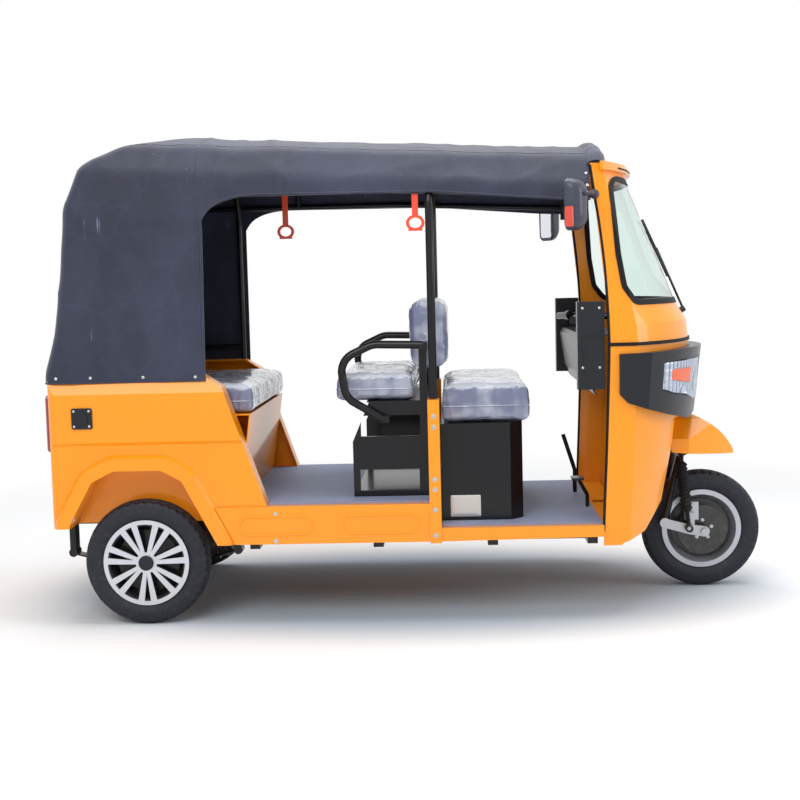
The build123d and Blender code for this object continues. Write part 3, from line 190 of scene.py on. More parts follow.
def make_groups():
    """Shared surface effects."""
    # fine moulded or sprayed grain with a slow shift of shade
    tree, given, out = new_group(
        "Fine grain", [("Scale", "Float", 400.0), ("Shade", "Float", 0.06)],
        [("Height", "Float"), ("Shade", "Float"), ("Roughness shift", "Float")])
    coords = mapped(tree)
    fine = clouds(tree, coords, given["Scale"], 3.0)
    slow = clouds(tree, coords, 3.0, 2.0)
    spread = times(tree, maths(tree, "SUBTRACT", slow, 0.5), given["Shade"])
    connect(
        tree, out, Height=fine, Shade=maths(tree, "ADD", spread, 1.0),
        Roughness_shift=times(tree, maths(tree, "SUBTRACT", fine, 0.5), 0.12))

    # dust that settles low on the vehicle
    tree, given, out = new_group(
        "Road dust",
        [("Color", "Color", (0.5, 0.5, 0.5, 1)), ("Dust", "Color", srgb(176, 160, 136)),
         ("Amount", "Float", 0.2), ("Top", "Float", 0.55)],
        [("Color", "Color"), ("Mask", "Float")])
    coords = mapped(tree)
    height = add(tree, "SeparateXYZ", Vector=coords).outputs[2]
    low = ramp(tree, maths(tree, "DIVIDE", height, given["Top"]), 1.0, 0.0)
    speck = clouds(tree, coords, 28.0, 6.0, Roughness=0.7)
    mask = times(tree, times(tree, low, ramp(tree, speck, 0.42, 0.72)), given["Amount"])
    connect(tree, out, Color=mix_colour(tree, mask, given["Color"], given["Dust"]), Mask=mask)

    # coated canvas: weave, chalky streaks and handling creases
    tree, given, out = new_group(
        "Coated canvas",
        [("Color", "Color", srgb(33, 36, 55)), ("Chalk", "Color", srgb(150, 160, 190)),
         ("Streaks", "Float", 0.35)],
        [("Color", "Color"), ("Height", "Float"), ("Roughness", "Float")])
    coords = mapped(tree)
    warp, weft = (
        add(tree, "TexWave", {"bands_direction": axis}, Vector=coords, Scale=160.0).outputs[1] for axis in "XZ")
    weave = times(tree, maths(tree, "ADD", warp, weft), 0.12)
    drip = clouds(tree, mapped(tree, (70, 70, 4.2), (0, math.radians(6), 0)), 1.0, 2.0)
    broken = clouds(tree, mapped(tree, (9, 9, 7)), 1.0, 4.0)
    streak = times(tree, ramp(tree, drip, 0.69, 0.76), ramp(tree, broken, 0.5, 0.64))
    bent = bent_by(tree, clouds(tree, coords, 5.0, 2.0, 1), 0.25, coords)
    fold = add(tree, "TexVoronoi", {"feature": "DISTANCE_TO_EDGE"}, Vector=bent, Scale=5.5).outputs[0]
    crease = ramp(tree, fold, 0.06, 0.0)
    cloud = clouds(tree, mapped(tree, (2.2, 2.2, 1.1)), 1.0, 5.0, Roughness=0.6)
    tone = mix_colour(tree, ramp(tree, cloud, 0.3, 0.75, 0.0, 0.10), given["Color"], given["Chalk"])
    lines = maths(tree, "MAXIMUM", times(tree, streak, given["Streaks"]), times(tree, crease, 0.012))
    connect(
        tree, out, Color=mix_colour(tree, lines, tone, given["Chalk"]),
        Height=maths(tree, "ADD", weave, times(tree, crease, 0.12)),
        Roughness=ramp(tree, cloud, 0.3, 0.75, 0.52, 0.68))

    # clear film that lies crinkled over a cover; its highlights are painted into the colour: painted glints along
    # the wrinkles and in soft patches, and painted light that makes it brightest where it faces up
    tree, given, out = new_group(
        "Crinkled film and painted light",
        [("Color", "Color", srgb(92, 100, 134)), ("Glint", "Color", srgb(240, 244, 254)),
         ("Scale", "Float", 13.0), ("Cover", "Float", 0.5)],
        [("Color", "Color"), ("Height", "Float"), ("Roughness", "Float")])
    coords = mapped(tree)
    bent = bent_by(tree, clouds(tree, coords, 6.0, 3.0, 1), 0.2, coords)
    wrinkle = clouds(
        tree, bent, given["Scale"], 4.0, props={"noise_type": "RIDGED_MULTIFRACTAL"},
        Roughness=0.55, Lacunarity=2.1)
    sheen = clouds(tree, coords, 9.0, 2.0)
    fine = clouds(tree, bent, 55.0, 4.0, Roughness=0.6)
    lines = ramp(tree, wrinkle, 0.55, 1.6)
    # painted glints: the wrinkle lines and soft sheen patches take the light glint colour
    painted_glints = maths(tree, "ADD", times(tree, lines, 0.55), ramp(tree, sheen, 0.38, 0.66, 0.0, 0.35))
    # painted light: faces that point up are painted brighter
    facing = add(tree, "SeparateXYZ", Vector=add(tree, "TexCoord").outputs["Normal"]).outputs[2]
    painted_top_light = ramp(tree, facing, 0.3, 0.85, 0.06, 0.9)
    # the film's painted light, glints and brighter tops together, mixes the base colour towards the glint colour
    film = maths(tree, "MULTIPLY", maths(tree, "ADD", painted_glints, painted_top_light), given["Cover"], clamp=True)
    connect(
        tree, out, Color=mix_colour(tree, film, given["Color"], given["Glint"]),
        Height=maths(tree, "ADD", times(tree, wrinkle, 0.5), times(tree, fine, 0.35)),
        Roughness=ramp(tree, fine, 0.3, 0.7, 0.14, 0.3))

    # parallel ribs along a turned axis
    tree, given, out = new_group(
        "Ribs", [("Angle", "Vector", (0.0, 0.0, 0.0)), ("Scale", "Float", 20.0)], [("Height", "Float")])
    turned = add(
        tree, "Mapping", Vector=add(tree, "TexCoord").outputs["Object"], Rotation=given["Angle"]).outputs[0]
    wave = add(tree, "TexWave", {"bands_direction": "X"}, Vector=turned, Scale=given["Scale"])
    connect(tree, out, Height=wave.outputs[1])


def new_material(name, roughness=0.5, metallic=0.0, coat=0.0, coat_rough=0.05, specular=0.5):
    """Material with a Principled shader; returns the material, its tree and the shader."""
    material = bpy.data.materials.new(name)
    material.use_nodes = True
    tree = material.node_tree
    shader = tree.nodes["Principled BSDF"]
    connect(
        tree, shader.inputs, Roughness=roughness, Metallic=metallic, Coat_Weight=coat,
        Coat_Roughness=coat_rough, Specular_IOR_Level=specular)
    return material, tree, shader


def bump(tree, shader, height, distance, strength=1.0):
    """Bump map of a height into the shader's normal."""
    made = add(tree, "Bump", Height=height, Distance=distance, Strength=strength)
    connect(tree, shader.inputs, Normal=made.outputs[0])


def grained(name, colour, roughness, metallic=0.0, coat=0.0, coat_rough=0.05, scale=400.0,
            shade=0.08, depth=0.00012, dust=0.0, dust_top=0.55, specular=0.5):
    """Painted, cast or moulded finish: grain, slow drift of shade and road dust."""
    material, tree, shader = new_material(name, roughness, metallic, coat, coat_rough, specular)
    grain = use_group(tree, "Fine grain", Scale=scale, Shade=shade)
    tone = shaded(tree, srgb(*colour), grain["Shade"])
    if dust:
        tone = use_group(tree, "Road dust", Color=tone, Amount=dust, Top=dust_top)["Color"]
    connect(
        tree, shader.inputs, Base_Color=tone,
        Roughness=maths(tree, "ADD", grain["Roughness shift"], roughness, clamp=True))
    bump(tree, shader, grain["Height"], depth, 0.6)
    return material


GRAINED = {
    # sRGB colour, roughness, other settings of the finish
    "body_paint": ((249, 152, 12), 0.36, dict(
        coat=0.45, coat_rough=0.06, specular=0.3, scale=260.0, shade=0.05, depth=0.00006, dust=0.12, dust_top=0.5)),
    "frame_paint": ((10, 11, 16), 0.32, dict(
        coat=0.3, coat_rough=0.1, scale=320.0, shade=0.15, dust=0.05, specular=0.2)),
    "black_plastic": ((21, 23, 31), 0.38, dict(
        coat=0.25, coat_rough=0.15, scale=900.0, shade=0.15, depth=0.0001, specular=0.25)),
    "grey_plastic": ((58, 62, 76), 0.4, dict(
        coat=0.2, coat_rough=0.15, scale=900.0, shade=0.1, depth=0.0001, specular=0.3)),
    "black_rubber": ((18, 19, 22), 0.6, dict(specular=0.2, scale=700.0, shade=0.15, depth=0.0001, dust=0.25)),
    "cast_black": ((34, 34, 36), 0.6, dict(scale=240.0, shade=0.3, depth=0.0003, dust=0.4)),
    "alloy": ((176, 180, 186), 0.42, dict(metallic=0.85, scale=180.0, shade=0.2, depth=0.0003, dust=0.25)),
    "silver_paint": ((200, 203, 210), 0.28, dict(
        metallic=0.75, coat=0.4, scale=900.0, shade=0.06, depth=0.00005, dust=0.12)),
    "strap_plastic": ((232, 70, 34), 0.38, dict(coat=0.2, scale=500.0, shade=0.1)),
    "red_reflector": ((214, 60, 38), 0.2, dict(coat=0.8, scale=350.0, shade=0.15, depth=0.0004)),
    "amber_lens": ((240, 96, 34), 0.15, dict(coat=0.9, scale=320.0, shade=0.2, depth=0.0006)),
    "bare_plate": ((196, 194, 188), 0.34, dict(metallic=0.7, scale=300.0, shade=0.12)),
    "chrome": ((225, 228, 234), 0.14, dict(metallic=1.0, scale=200.0, shade=0.05, depth=0.00004)),
    "reflector": ((196, 202, 214), 0.16, dict(metallic=0.9, scale=240.0, shade=0.1, depth=0.0001)),
    "zinc": ((186, 188, 190), 0.36, dict(metallic=0.9, scale=500.0, shade=0.15, depth=0.0001)),
}


def make_materials():
    """One material for each slot of the record, and a few for trim."""
    made = {
        name: grained(name, colour, roughness, **more) for name, (colour, roughness, more) in GRAINED.items()}

    # ribbed floor rubber with fine diagonal lines; the grooves between the ribs are painted darker and the rib tops
    # lighter, as painted shade and light
    made["mat_rubber"], tree, shader = new_material("mat_rubber", 0.55)
    grain = use_group(tree, "Fine grain", Scale=300.0, Shade=0.25)
    ribs = use_group(tree, "Ribs", Angle=(0.0, 0.0, math.radians(45)), Scale=52.0)["Height"]
    # painted shade: the colour follows the rib height, darker in the grooves and lighter on the tops
    tone = mix_colour(tree, ramp(tree, ribs, 0.35, 0.7), srgb(116, 126, 156), srgb(172, 184, 216))
    connect(tree, shader.inputs, Base_Color=shaded(tree, tone, grain["Shade"]))
    bump(tree, shader, maths(tree, "ADD", ribs, times(tree, grain["Height"], 0.2)), 0.0016)

    # tyre rubber with specks of dust
    made["tyre_rubber"], tree, shader = new_material("tyre_rubber", 0.55, specular=0.3)
    grain = use_group(tree, "Fine grain", Scale=520.0, Shade=0.35)
    tone = shaded(tree, srgb(34, 36, 44), grain["Shade"])
    speck = clouds(tree, mapped(tree), 40.0, 6.0)
    connect(tree, shader.inputs, Base_Color=mix_colour(
        tree, ramp(tree, speck, 0.52, 0.8, 0.0, 0.1), tone, srgb(140, 134, 124)))
    bump(tree, shader, grain["Height"], 0.00025)

    # canopy cloth
    made["canvas"], tree, shader = new_material("canvas", 0.6, specular=0.3)
    cloth = use_group(tree, "Coated canvas")
    connect(
        tree, shader.inputs, Base_Color=cloth["Color"], Roughness=cloth["Roughness"],
        Sheen_Weight=0.25, Sheen_Roughness=0.45)
    bump(tree, shader, cloth["Height"], 0.0012)

    # vinyl covers under a thin clear film, with the film's highlights and brighter tops painted into the colour
    made["seat_cover"], tree, shader = new_material("seat_cover", 0.3, coat=0.9, coat_rough=0.08)
    film = use_group(tree, "Crinkled film and painted light", Cover=0.9)
    connect(tree, shader.inputs, Base_Color=film["Color"], Roughness=film["Roughness"])
    bump(tree, shader, film["Height"], 0.0045)

    # glazing, lamps
    made["clear_glass"], tree, shader = new_material("clear_glass", 0.02)
    grain = use_group(tree, "Fine grain", Scale=12.0, Shade=0.03)
    tone = mix_colour(tree, grain["Shade"], srgb(218, 232, 228), srgb(236, 246, 243))
    connect(tree, shader.inputs, Base_Color=tone, Transmission_Weight=1.0, IOR=1.12)
    bump(tree, shader, grain["Height"], 0.00002)

    made["lens"], tree, shader = new_material("lens", 0.04)
    flutes = use_group(tree, "Ribs", Angle=(0.0, 0.0, 0.4), Scale=12.0)["Height"]
    connect(tree, shader.inputs, Base_Color=srgb(240, 245, 248), Transmission_Weight=1.0, IOR=1.06)
    bump(tree, shader, flutes, 0.0002)

    made["red_lens"], tree, shader = new_material("red_lens", 0.12, coat=1.0)
    pattern = use_group(tree, "Ribs", Angle=(0.0, 0.0, math.pi / 2), Scale=40.0)["Height"]
    # painted shade and highlight: the colour follows the rib height, darker red in the hollows and lighter on the
    # ridges
    connect(tree, shader.inputs, Base_Color=mix_colour(tree, pattern, srgb(110, 16, 18), srgb(168, 30, 28)))
    bump(tree, shader, pattern, 0.0008)

    # front rim: silver outer ring, black dish
    made["rim_two_tone"], tree, shader = new_material("rim_two_tone", 0.34, coat=0.3)
    coords = add(tree, "TexCoord").outputs["Object"]
    middle = middle_of("front_rim")
    plane = add(tree, "VectorMath", {"operation": "MULTIPLY"}, i0=coords, i1=(1, 0, 1)).outputs[0]
    radius = add(
        tree, "VectorMath", {"operation": "DISTANCE"}, i0=plane, i1=(middle.x, 0.0, middle.z)).outputs["Value"]
    outer = ramp(tree, radius, 0.124, 0.127)
    grain = use_group(tree, "Fine grain", Scale=600.0, Shade=0.1)
    tone = mix_colour(tree, outer, srgb(20, 21, 26), srgb(176, 180, 188))
    connect(
        tree, shader.inputs, Base_Color=use_group(tree, "Road dust", Color=tone, Amount=0.15)["Color"],
        Metallic=times(tree, outer, 0.8))
    bump(tree, shader, grain["Height"], 0.0001)
    return made


# ---------------------------------------------------------------- mesh helpers
def middle_of(node):
    """Middle of a CAD node's box."""
    return Vector([(a + b) / 2 for a, b in zip(*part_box(node))])


def finish_piece(obj, key, body):
    """Material and body of a new piece."""
    obj.data.materials.clear()
    obj.data.materials.append(MATERIALS[key])
    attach(obj, body)


def shade(obj, smooth_angle):
    """Smooth shading with sharp edges over an angle."""
    obj.data.shade_smooth()
    obj.data.set_sharp_from_angle(angle=math.radians(smooth_angle))


def link_mesh(name, bm, smooth_angle=40.0):
    """Object from a bmesh, shaded smooth up to an angle."""
    mesh = bpy.data.meshes.new(name)
    bm.to_mesh(mesh)
    bm.free()
    obj = bpy.data.objects.new(name, mesh)
    bpy.context.scene.collection.objects.link(obj)
    shade(obj, smooth_angle)
    return obj


def add_piece(name, bm, smooth_angle, key, body="chassis"):
    """Finished piece from a bmesh."""
    obj = link_mesh(name, bm, smooth_angle)
    finish_piece(obj, key, body)
    return obj


def bake(obj):
    """Apply every modifier of an object."""
    depsgraph = bpy.context.evaluated_depsgraph_get()
    mesh = bpy.data.meshes.new_from_object(obj.evaluated_get(depsgraph))
    obj.modifiers.clear()
    old = obj.data
    obj.data = mesh
    bpy.data.meshes.remove(old)


def modify(obj, kind, **settings):
    """Apply one modifier to an object."""
    made = obj.modifiers.new(kind.title(), kind)
    for key, value in settings.items():
        setattr(made, key, value)
    bake(obj)


def smooth_path(points, steps):
    """Catmull-Rom points through the given ones."""
    points = [Vector(p) for p in points]
    ends = [points[0] * 2 - points[1]] + points + [points[-1] * 2 - points[-2]]
    out = []
    for a, b, c, d in zip(ends, ends[1:], ends[2:], ends[3:]):
        for t in (k / steps for k in range(steps)):
            out.append(0.5 * (
                2 * b + (c - a) * t + (2 * a - 5 * b + 4 * c - d) * t * t
                + (3 * b - a - 3 * c + d) * t ** 3))
    return out + [points[-1]]


def skin(bm, rings, closed=False, caps=True):
    """Faces between rings of vertices, with end caps or joined up to the start."""
    pairs = list(zip(rings, rings[1:])) + ([(rings[-1], rings[0])] if closed else [])
    for a, b in pairs:
        for k in range(len(a)):
            m = (k + 1) % len(a)
            bm.faces.new((a[k], a[m], b[m], b[k]))
    if caps and not closed:
        bm.faces.new(rings[0][::-1])
        bm.faces.new(rings[-1])


def circle(count):
    """Angles of points spread round a circle."""
    return [2 * math.pi * k / count for k in range(count)]


def sweep(bm, path, radius, sides=12, flat=1.0, up=UP, closed=False):
    """Add a tube along a path; flat widens it across its up direction."""
    rings = []
    count = len(path)
    for index, point in enumerate(path):
        before = path[(index - 1) % count] if closed or index else path[0]
        after = path[(index + 1) % count] if closed or index < count - 1 else path[-1]
        along = (after - before).normalized()
        side = along.cross(up)
        side = side.normalized() if side.length > 1e-4 else Vector((1, 0, 0))
        lift = side.cross(along).normalized()
        rings.append([
            bm.verts.new(point + side * (radius * flat * math.cos(t)) + lift * (radius * math.sin(t)))
            for t in circle(sides)])
    skin(bm, rings, closed)


def lathe(bm, profile, centre, axis, sides=24):
    """Add a turned solid: profile is (along, radius) pairs from the base to the tip."""
    axis = Vector(axis).normalized()
    side = axis.orthogonal().normalized()
    other = axis.cross(side)
    skin(bm, [
        [bm.verts.new(centre + axis * along + (side * math.cos(t) + other * math.sin(t)) * radius)
         for t in circle(sides)]
        for along, radius in profile])


def bolt(bm, centre, axis, across=0.013, proud=0.005):
    """Hexagon bolt head on a washer."""
    r = across / 2
    lathe(bm, [(-0.001, r * 1.5), (0.0012, r * 1.5), (0.0014, r * 1.35)], centre, axis, 20)
    lathe(
        bm, [(0.001, r), (proud - 0.0012, r), (proud - 0.0002, r * 0.86), (proud, r * 0.6)],
        centre, axis, 6)


def screw(bm, centre, axis, radius=0.005, proud=0.0022):
    """Domed screw or snap head."""
    lathe(
        bm, [(-0.001, radius), (proud * 0.45, radius), (proud * 0.8, radius * 0.8),
             (proud, radius * 0.45), (proud * 0.75, radius * 0.3)], centre, axis, 16)


def surface(obj):
    """Ray caster for an object's surface."""
    bm = bmesh.new()
    bm.from_mesh(obj.data)
    tree = BVHTree.FromBMesh(bm)
    bm.free()
    return tree


def hit(tree, start, direction):
    """Point and outward normal where a ray first meets a surface."""
    direction = Vector(direction).normalized()
    point, normal, _, _ = tree.ray_cast(Vector(start), direction)
    if point is None:
        return None, None
    return point, -normal if normal.dot(direction) > 0 else normal


def side_hits(tree, places, side, least=0.0):
    """Points and normals met from one side at (x, z) places in millimetres, if further out than least."""
    found = [hit(tree, (x * MM, side * 0.9, z * MM), (0, -side, 0)) for x, z in places]
    return [(point, normal) for point, normal in found if point is not None and abs(point.y) > least]


def top_hits(tree, places):
    """Points met from above at (x, y) places in metres."""
    found = [hit(tree, (x, y, 2.4), (0, 0, -1))[0] for x, y in places]
    return [point for point in found if point is not None]


# ---------------------------------------------------------------- canopy
FALL = 0.052                    # forward fall of the roof
FALL_X = -880.0                 # where the section's heights are true
FALL_HEIGHT = 560.0             # rise over the hem at which the fall is whole
SECTION = ((573, 818), (545, 1600), (522, 1775), (440, 1888))
CROWN_Z = 1955.0
BACK = (
    (968, -1447.5), (1000, -1447.5), (1165, -1407), (1371, -1378), (1553, -1361), (1645, -1356),
    (1818, -1292), (1908, -1128), (1955, -880), (2200, -870),
)
HEM_Z = 968.0
BOWS = (-1278.0, -828.0, -545.0, 78.0, 680.0)
CLOTH_FRONT_X = 763.0
DOOR_REAR_X = -806.0
SKIRT = ((-600, 1680), (84, 1674), (577, 1632), (697, 1627))
CAB_TOP_Z = 1775.3
DOOR_BINDING = 0.0042
HEM_BINDING = 0.0036
SEAM_X = -822
SEAM = 0.0026
EAVE_SEAM = 0.0014
EAVE_Y = 0.415
ROLL_RADIUS = 0.038
ROLL_HALF_WIDTH = 0.462
STUDS = ((-1395, 990), (-1259, 990), (-1052, 988), (-846, 985), (686, 1732), (687, 1684))
STUD = (0.0062, 0.0034)


def bezier(a, b, c, t):
    """Point of a curve that leaves a and reaches c with b as its corner."""
    return a * (1 - t) ** 2 + b * 2 * t * (1 - t) + c * t * t


def rounded(points, radius):
    """Polyline with its inner corners eased by a curve of about that radius."""
    points = [flat(*p) for p in points]
    out = [points[0]]
    for a, b, c in zip(points, points[1:], points[2:]):
        cut = radius * math.tan((b - a).angle(c - b) / 2)
        start, end = b + (a - b).normalized() * cut, b + (c - b).normalized() * cut
        out += [bezier(start, b, end, k / 6) for k in range(7)]
    return out + [points[-1]]


def even(points, gap):
    """Points spread evenly along a polyline."""
    lengths = [0.0]
    for a, b in zip(points, points[1:]):
        lengths.append(lengths[-1] + (b - a).length)
    count = max(2, round(lengths[-1] / gap))
    out, at = [], 0
    for k in range(count + 1):
        target = lengths[-1] * k / count
        while at < len(points) - 2 and lengths[at + 1] < target:
            at += 1
        span = lengths[at + 1] - lengths[at]
        out.append(points[at].lerp(points[at + 1], (target - lengths[at]) / span if span else 0))
    return out


def section_line():
    """Half section of the canopy, from under the hem to the crown, as (half width, height)."""
    half, top = SECTION[-1][0], CROWN_Z - SECTION[-1][1]
    radius = (half * half + top * top) / (2 * top)
    widths = [half * (1 - k / 24) for k in range(1, 25)]
    arc = [(y, CROWN_Z - radius + math.sqrt(radius * radius - y * y)) for y in widths]
    return rounded([*SECTION, arc[2]], 70)[:-1] + [flat(*p) for p in arc[3:]]


def half_width(line, height):
    """Half width of the canopy at a section height."""
    for a, b in zip(line, line[1:]):
        if a.y <= height <= b.y:
            return a.x + (b.x - a.x) * (height - a.y) / max(b.y - a.y, 1e-6)
    return 0.0 if height > line[-1].y else line[0].x


def back_x(z):
    """Where the back of the canopy stands at a height."""
    def sharp(height):
        for (z0, x0), (z1, x1) in zip(BACK, BACK[1:]):
            if height <= z1:
                return x0 + (x1 - x0) * max(height - z0, 0) / (z1 - z0)
        return BACK[-1][1]
    return sum(sharp(z + shift) for shift in (-14, -7, 0, 7, 14)) / 5 if z < 1940 else sharp(z)


def plan_ring(width, height):
    """One level of the tent as points from the front round a rear corner to the centre plane."""
    level = min(1.0, max(0.0, (height - HEM_Z) / FALL_HEIGHT))

    def true_z(x):
        return height - FALL * (x - FALL_X) * level

    rear = back_x(height)
    for _ in range(6):
        rear = back_x(true_z(rear))
    corner, nose = min(52.0, 0.85 * width), min(26.0, 0.5 * width)
    front, quarter, steps = CLOTH_FRONT_X, math.pi / 2, 118
    cross = [flat(front, width * k / 10) for k in range(9)]
    cross = [p for p in cross if p.y < width - nose - 1]
    bend = [
        flat(front - nose + nose * math.cos(t), width - nose + nose * math.sin(t))
        for t in (quarter * k / 4 for k in range(5))]
    start, stop = front - nose, rear + corner
    side = [flat(start + (stop - start) * k / steps, width) for k in range(1, steps)]
    turn = [
        flat(rear + corner - corner * math.sin(t), width - corner + corner * math.cos(t))
        for t in (quarter * k / 6 for k in range(7))]
    across = [flat(rear, (width - corner) * (1 - k / 26)) for k in range(1, 27)]
    cross += [cross[-1] if cross else bend[0]] * (9 - len(cross))
    return [Vector((p.x, p.y, true_z(p.x))) for p in cross + bend + side + turn + across]


def tent_shape():
    """Grid of the whole tent's half, in millimetres: rings of equal length from hem to crown."""
    line = section_line()
    above = [flat(half_width(line, HEM_Z), HEM_Z)] + [p for p in line if p.y > HEM_Z]
    rings = []
    for p in even(above, 17.0):
        ring = plan_ring(max(p.x, 0.0), p.y)
        if p.y < SECTION[2][1]:
            for point in ring:
                # the side follows the section at the height the point really has
                point.y *= half_width(line, point.z + FALL * (point.x - FALL_X)) / max(p.x, 1.0)
        rings.append(ring)
    return rings


def drape(point, sag):
    """Inward fall of the cloth between its bows, with creases and pulls, in metres."""
    x, y, z = point
    depth = 0.0
    for a, b in zip(BOWS, BOWS[1:]):
        a, b = a * MM, b * MM
        if a < x < b:
            depth = math.sin(math.pi * (x - a) / (b - a)) ** 2
    roof = max(0.0, min(1.0, (z - 1.62) / 0.2))
    depth *= sag * (0.35 + 0.65 * roof)
    # long soft folds, steeper near the back corners and above the doors
    slow = noise.noise(Vector((x * 2.6, y * 2.6, z * 1.7)))
    fold = noise.noise(Vector((x * 7.0 + z * 3.0, y * 3.0, z * 2.2 - x * 2.0)) + Vector((9, 2, 5)))
    ridge = (1 - abs(fold)) ** 6
    pull = 1 - abs(noise.noise(Vector((x * 3.2 - z * 5.5, y * 2.0, z * 4.0 + x * 2.0)) + Vector((3, 7, 1))))
    skirt = max(0.0, 1 - abs(z - 1.72) / 0.16) if x > -0.78 else 0.0
    return depth + 0.003 * slow - 0.0042 * ridge - 0.005 * skirt * pull ** 7


def build_canopy(settings):
    """Canopy cloth as one sheet, cut out for the doors and the cab."""
    bm = bmesh.new()
    rings = tent_shape()
    for sign in SIDES:
        grid = [[bm.verts.new((p.x * MM, sign * p.y * MM, p.z * MM)) for p in ring] for ring in rings]
        for low, high in zip(grid, grid[1:]):
            for j in range(len(low) - 1):
                quad = [low[j], low[j + 1], high[j + 1], high[j]]
                bm.faces.new(quad if sign > 0 else quad[::-1])
    bmesh.ops.remove_doubles(bm, verts=bm.verts, dist=0.0006)
    bmesh.ops.dissolve_degenerate(bm, edges=bm.edges, dist=0.0002)
    bmesh.ops.recalc_face_normals(bm, faces=bm.faces)
    bm.normal_update()
    if max(bm.faces, key=lambda face: face.calc_center_median().z).normal.z < 0:
        bmesh.ops.reverse_faces(bm, faces=bm.faces)
        bm.normal_update()
    half_thick = settings.cloth_thickness / 2
    for v, normal in [(v, v.normal.copy()) for v in bm.verts]:
        v.co -= normal * (drape(v.co, settings.sag) + half_thick)
    canopy = link_mesh("canopy_cloth", bm, 60)
    modify(canopy, "SOLIDIFY", thickness=settings.cloth_thickness, offset=-1.0)
    cutter = door_cutter()
    modify(canopy, "BOOLEAN", operation="DIFFERENCE", solver="EXACT", object=cutter)
    bpy.data.objects.remove(cutter)
    shade(canopy, 50)
    return canopy


def door_outline():
    """Edge of the door opening and the cab's cut-out, from the hem round to the cab's top."""
    rear = [flat(DOOR_REAR_X + 5 * k / 12, 900 + 690 * k / 12) for k in range(13)]
    corner = flat(DOOR_REAR_X + 5, 1590), flat(-770, 1672), flat(-600, 1680)
    bend = [bezier(*corner, k / 10) for k in range(1, 11)]
    skirt = [
        flat(x0 + (x1 - x0) * k / 8, z0 + (z1 - z0) * k / 8)
        for (x0, z0), (x1, z1) in zip(SKIRT, SKIRT[1:]) for k in range(1, 9)]
    return rear + bend + skirt


def door_cutter():
    """Prism through both sides that cuts the openings."""
    outline = [(p.x, p.y) for p in door_outline()]
    outline += [(697, CAB_TOP_Z), (900, CAB_TOP_Z), (900, 900)]
    bm = bmesh.new()
    left, right = ([bm.verts.new((x * MM, y, z * MM)) for x, z in outline] for y in (-0.9, 0.9))
    bm.faces.new(left)
    bm.faces.new(right[::-1])
    for k in range(len(left)):
        m = (k + 1) % len(left)
        bm.faces.new((left[m], left[k], right[k], right[m]))
    bmesh.ops.recalc_face_normals(bm, faces=bm.faces)
    return link_mesh("door_cutter", bm)


def hem_line(tree):
    """Bottom edge of the cloth from one door round the back to the other."""
    z = HEM_Z * MM + 0.003
    rays = [((-0.806 - (1.40 - 0.806) * k / 59, -0.9, z), (0, 1, 0)) for k in range(60)]
    for turn in (math.radians(-90 - k) for k in range(6, 90, 6)):
        away = Vector((math.cos(turn), math.sin(turn), 0))
        rays.append((Vector((-1.3955, -0.516, z)) + away * 0.3, -away))
    rays += [((-1.8, -0.516 + 0.516 * k / 20, z), (1, 0, 0)) for k in range(21)]
    half = [point for point, _ in (hit(tree, *ray) for ray in rays) if point is not None]
    return half + [Vector((p.x, -p.y, p.z)) for p in half[::-1][1:]]


def canopy_trim(canopy):
    """Bound edges, seams, snap studs and the rolled front edge."""
    tree = surface(canopy)

    def cloth_hits(places, side):
        return side_hits(tree, places, side, 0.3)

    # binding along the door edges and the bottom hem
    binding = bmesh.new()
    outline = [(p.x, p.y) for p in door_outline() if p.y > HEM_Z + 4]
    edge = [(x - 5, z) if z < 1600 else (x, z + 5) for x, z in outline]
    for side in SIDES:
        sweep(binding, [p for p, _ in cloth_hits(edge, side)], DOOR_BINDING, 8, up=Vector((0, side, 0)))
    sweep(binding, hem_line(tree), HEM_BINDING, 8)

    # felled seams: down the sides, over the roof and along the eaves
    seams = bmesh.new()
    for side in SIDES:
        fall = cloth_hits([(SEAM_X, z) for z in range(990, 1880, 30)], side)
        sweep(seams, [p for p, _ in fall], SEAM, 6, flat=2.6, up=Vector((0, side, 0)))
    sweep(seams, top_hits(tree, [(SEAM_X * MM, 0.44 * k / 16) for k in range(-16, 17)]), SEAM, 6, flat=2.6)
    for side in SIDES:
        eave = [(-1.10 + 1.84 * k / 59, side * EAVE_Y) for k in range(60)]
        sweep(seams, top_hits(tree, eave), EAVE_SEAM, 6, flat=2.4)

    # snap studs
    studs = bmesh.new()
    found = cloth_hits(STUDS, 1) + cloth_hits(STUDS, -1)
    found += [hit(tree, (-1.8, y * MM, 0.99), (1, 0, 0)) for y in (-360, -120, 120, 360)]
    for point, normal in found:
        if point is not None:
            screw(studs, point, normal, *STUD)

    # rolled front edge over the cab
    roll = bmesh.new()
    path = []
    for k in range(-30, 31):
        y = ROLL_HALF_WIDTH * k / 30
        for point in top_hits(tree, [(0.728, y)]):
            path.append(Vector((
                0.726 + 0.003 * math.sin(k * 0.9), y, point.z - 0.022 - 0.001 * math.sin(k * 1.7))))
    sweep(roll, path, ROLL_RADIUS, 20)
    for v in roll.verts:
        v.co += v.co.normalized() * 0.0016 * noise.noise(Vector((v.co.x * 30, v.co.y * 9, v.co.z * 30)))

    return [add_piece("canopy_" + name, bm, 40, key) for name, bm, key in (
        ("binding", binding, "canvas"), ("seams", seams, "canvas"), ("studs", studs, "zinc"),
        ("front_roll", roll, "canvas"))]


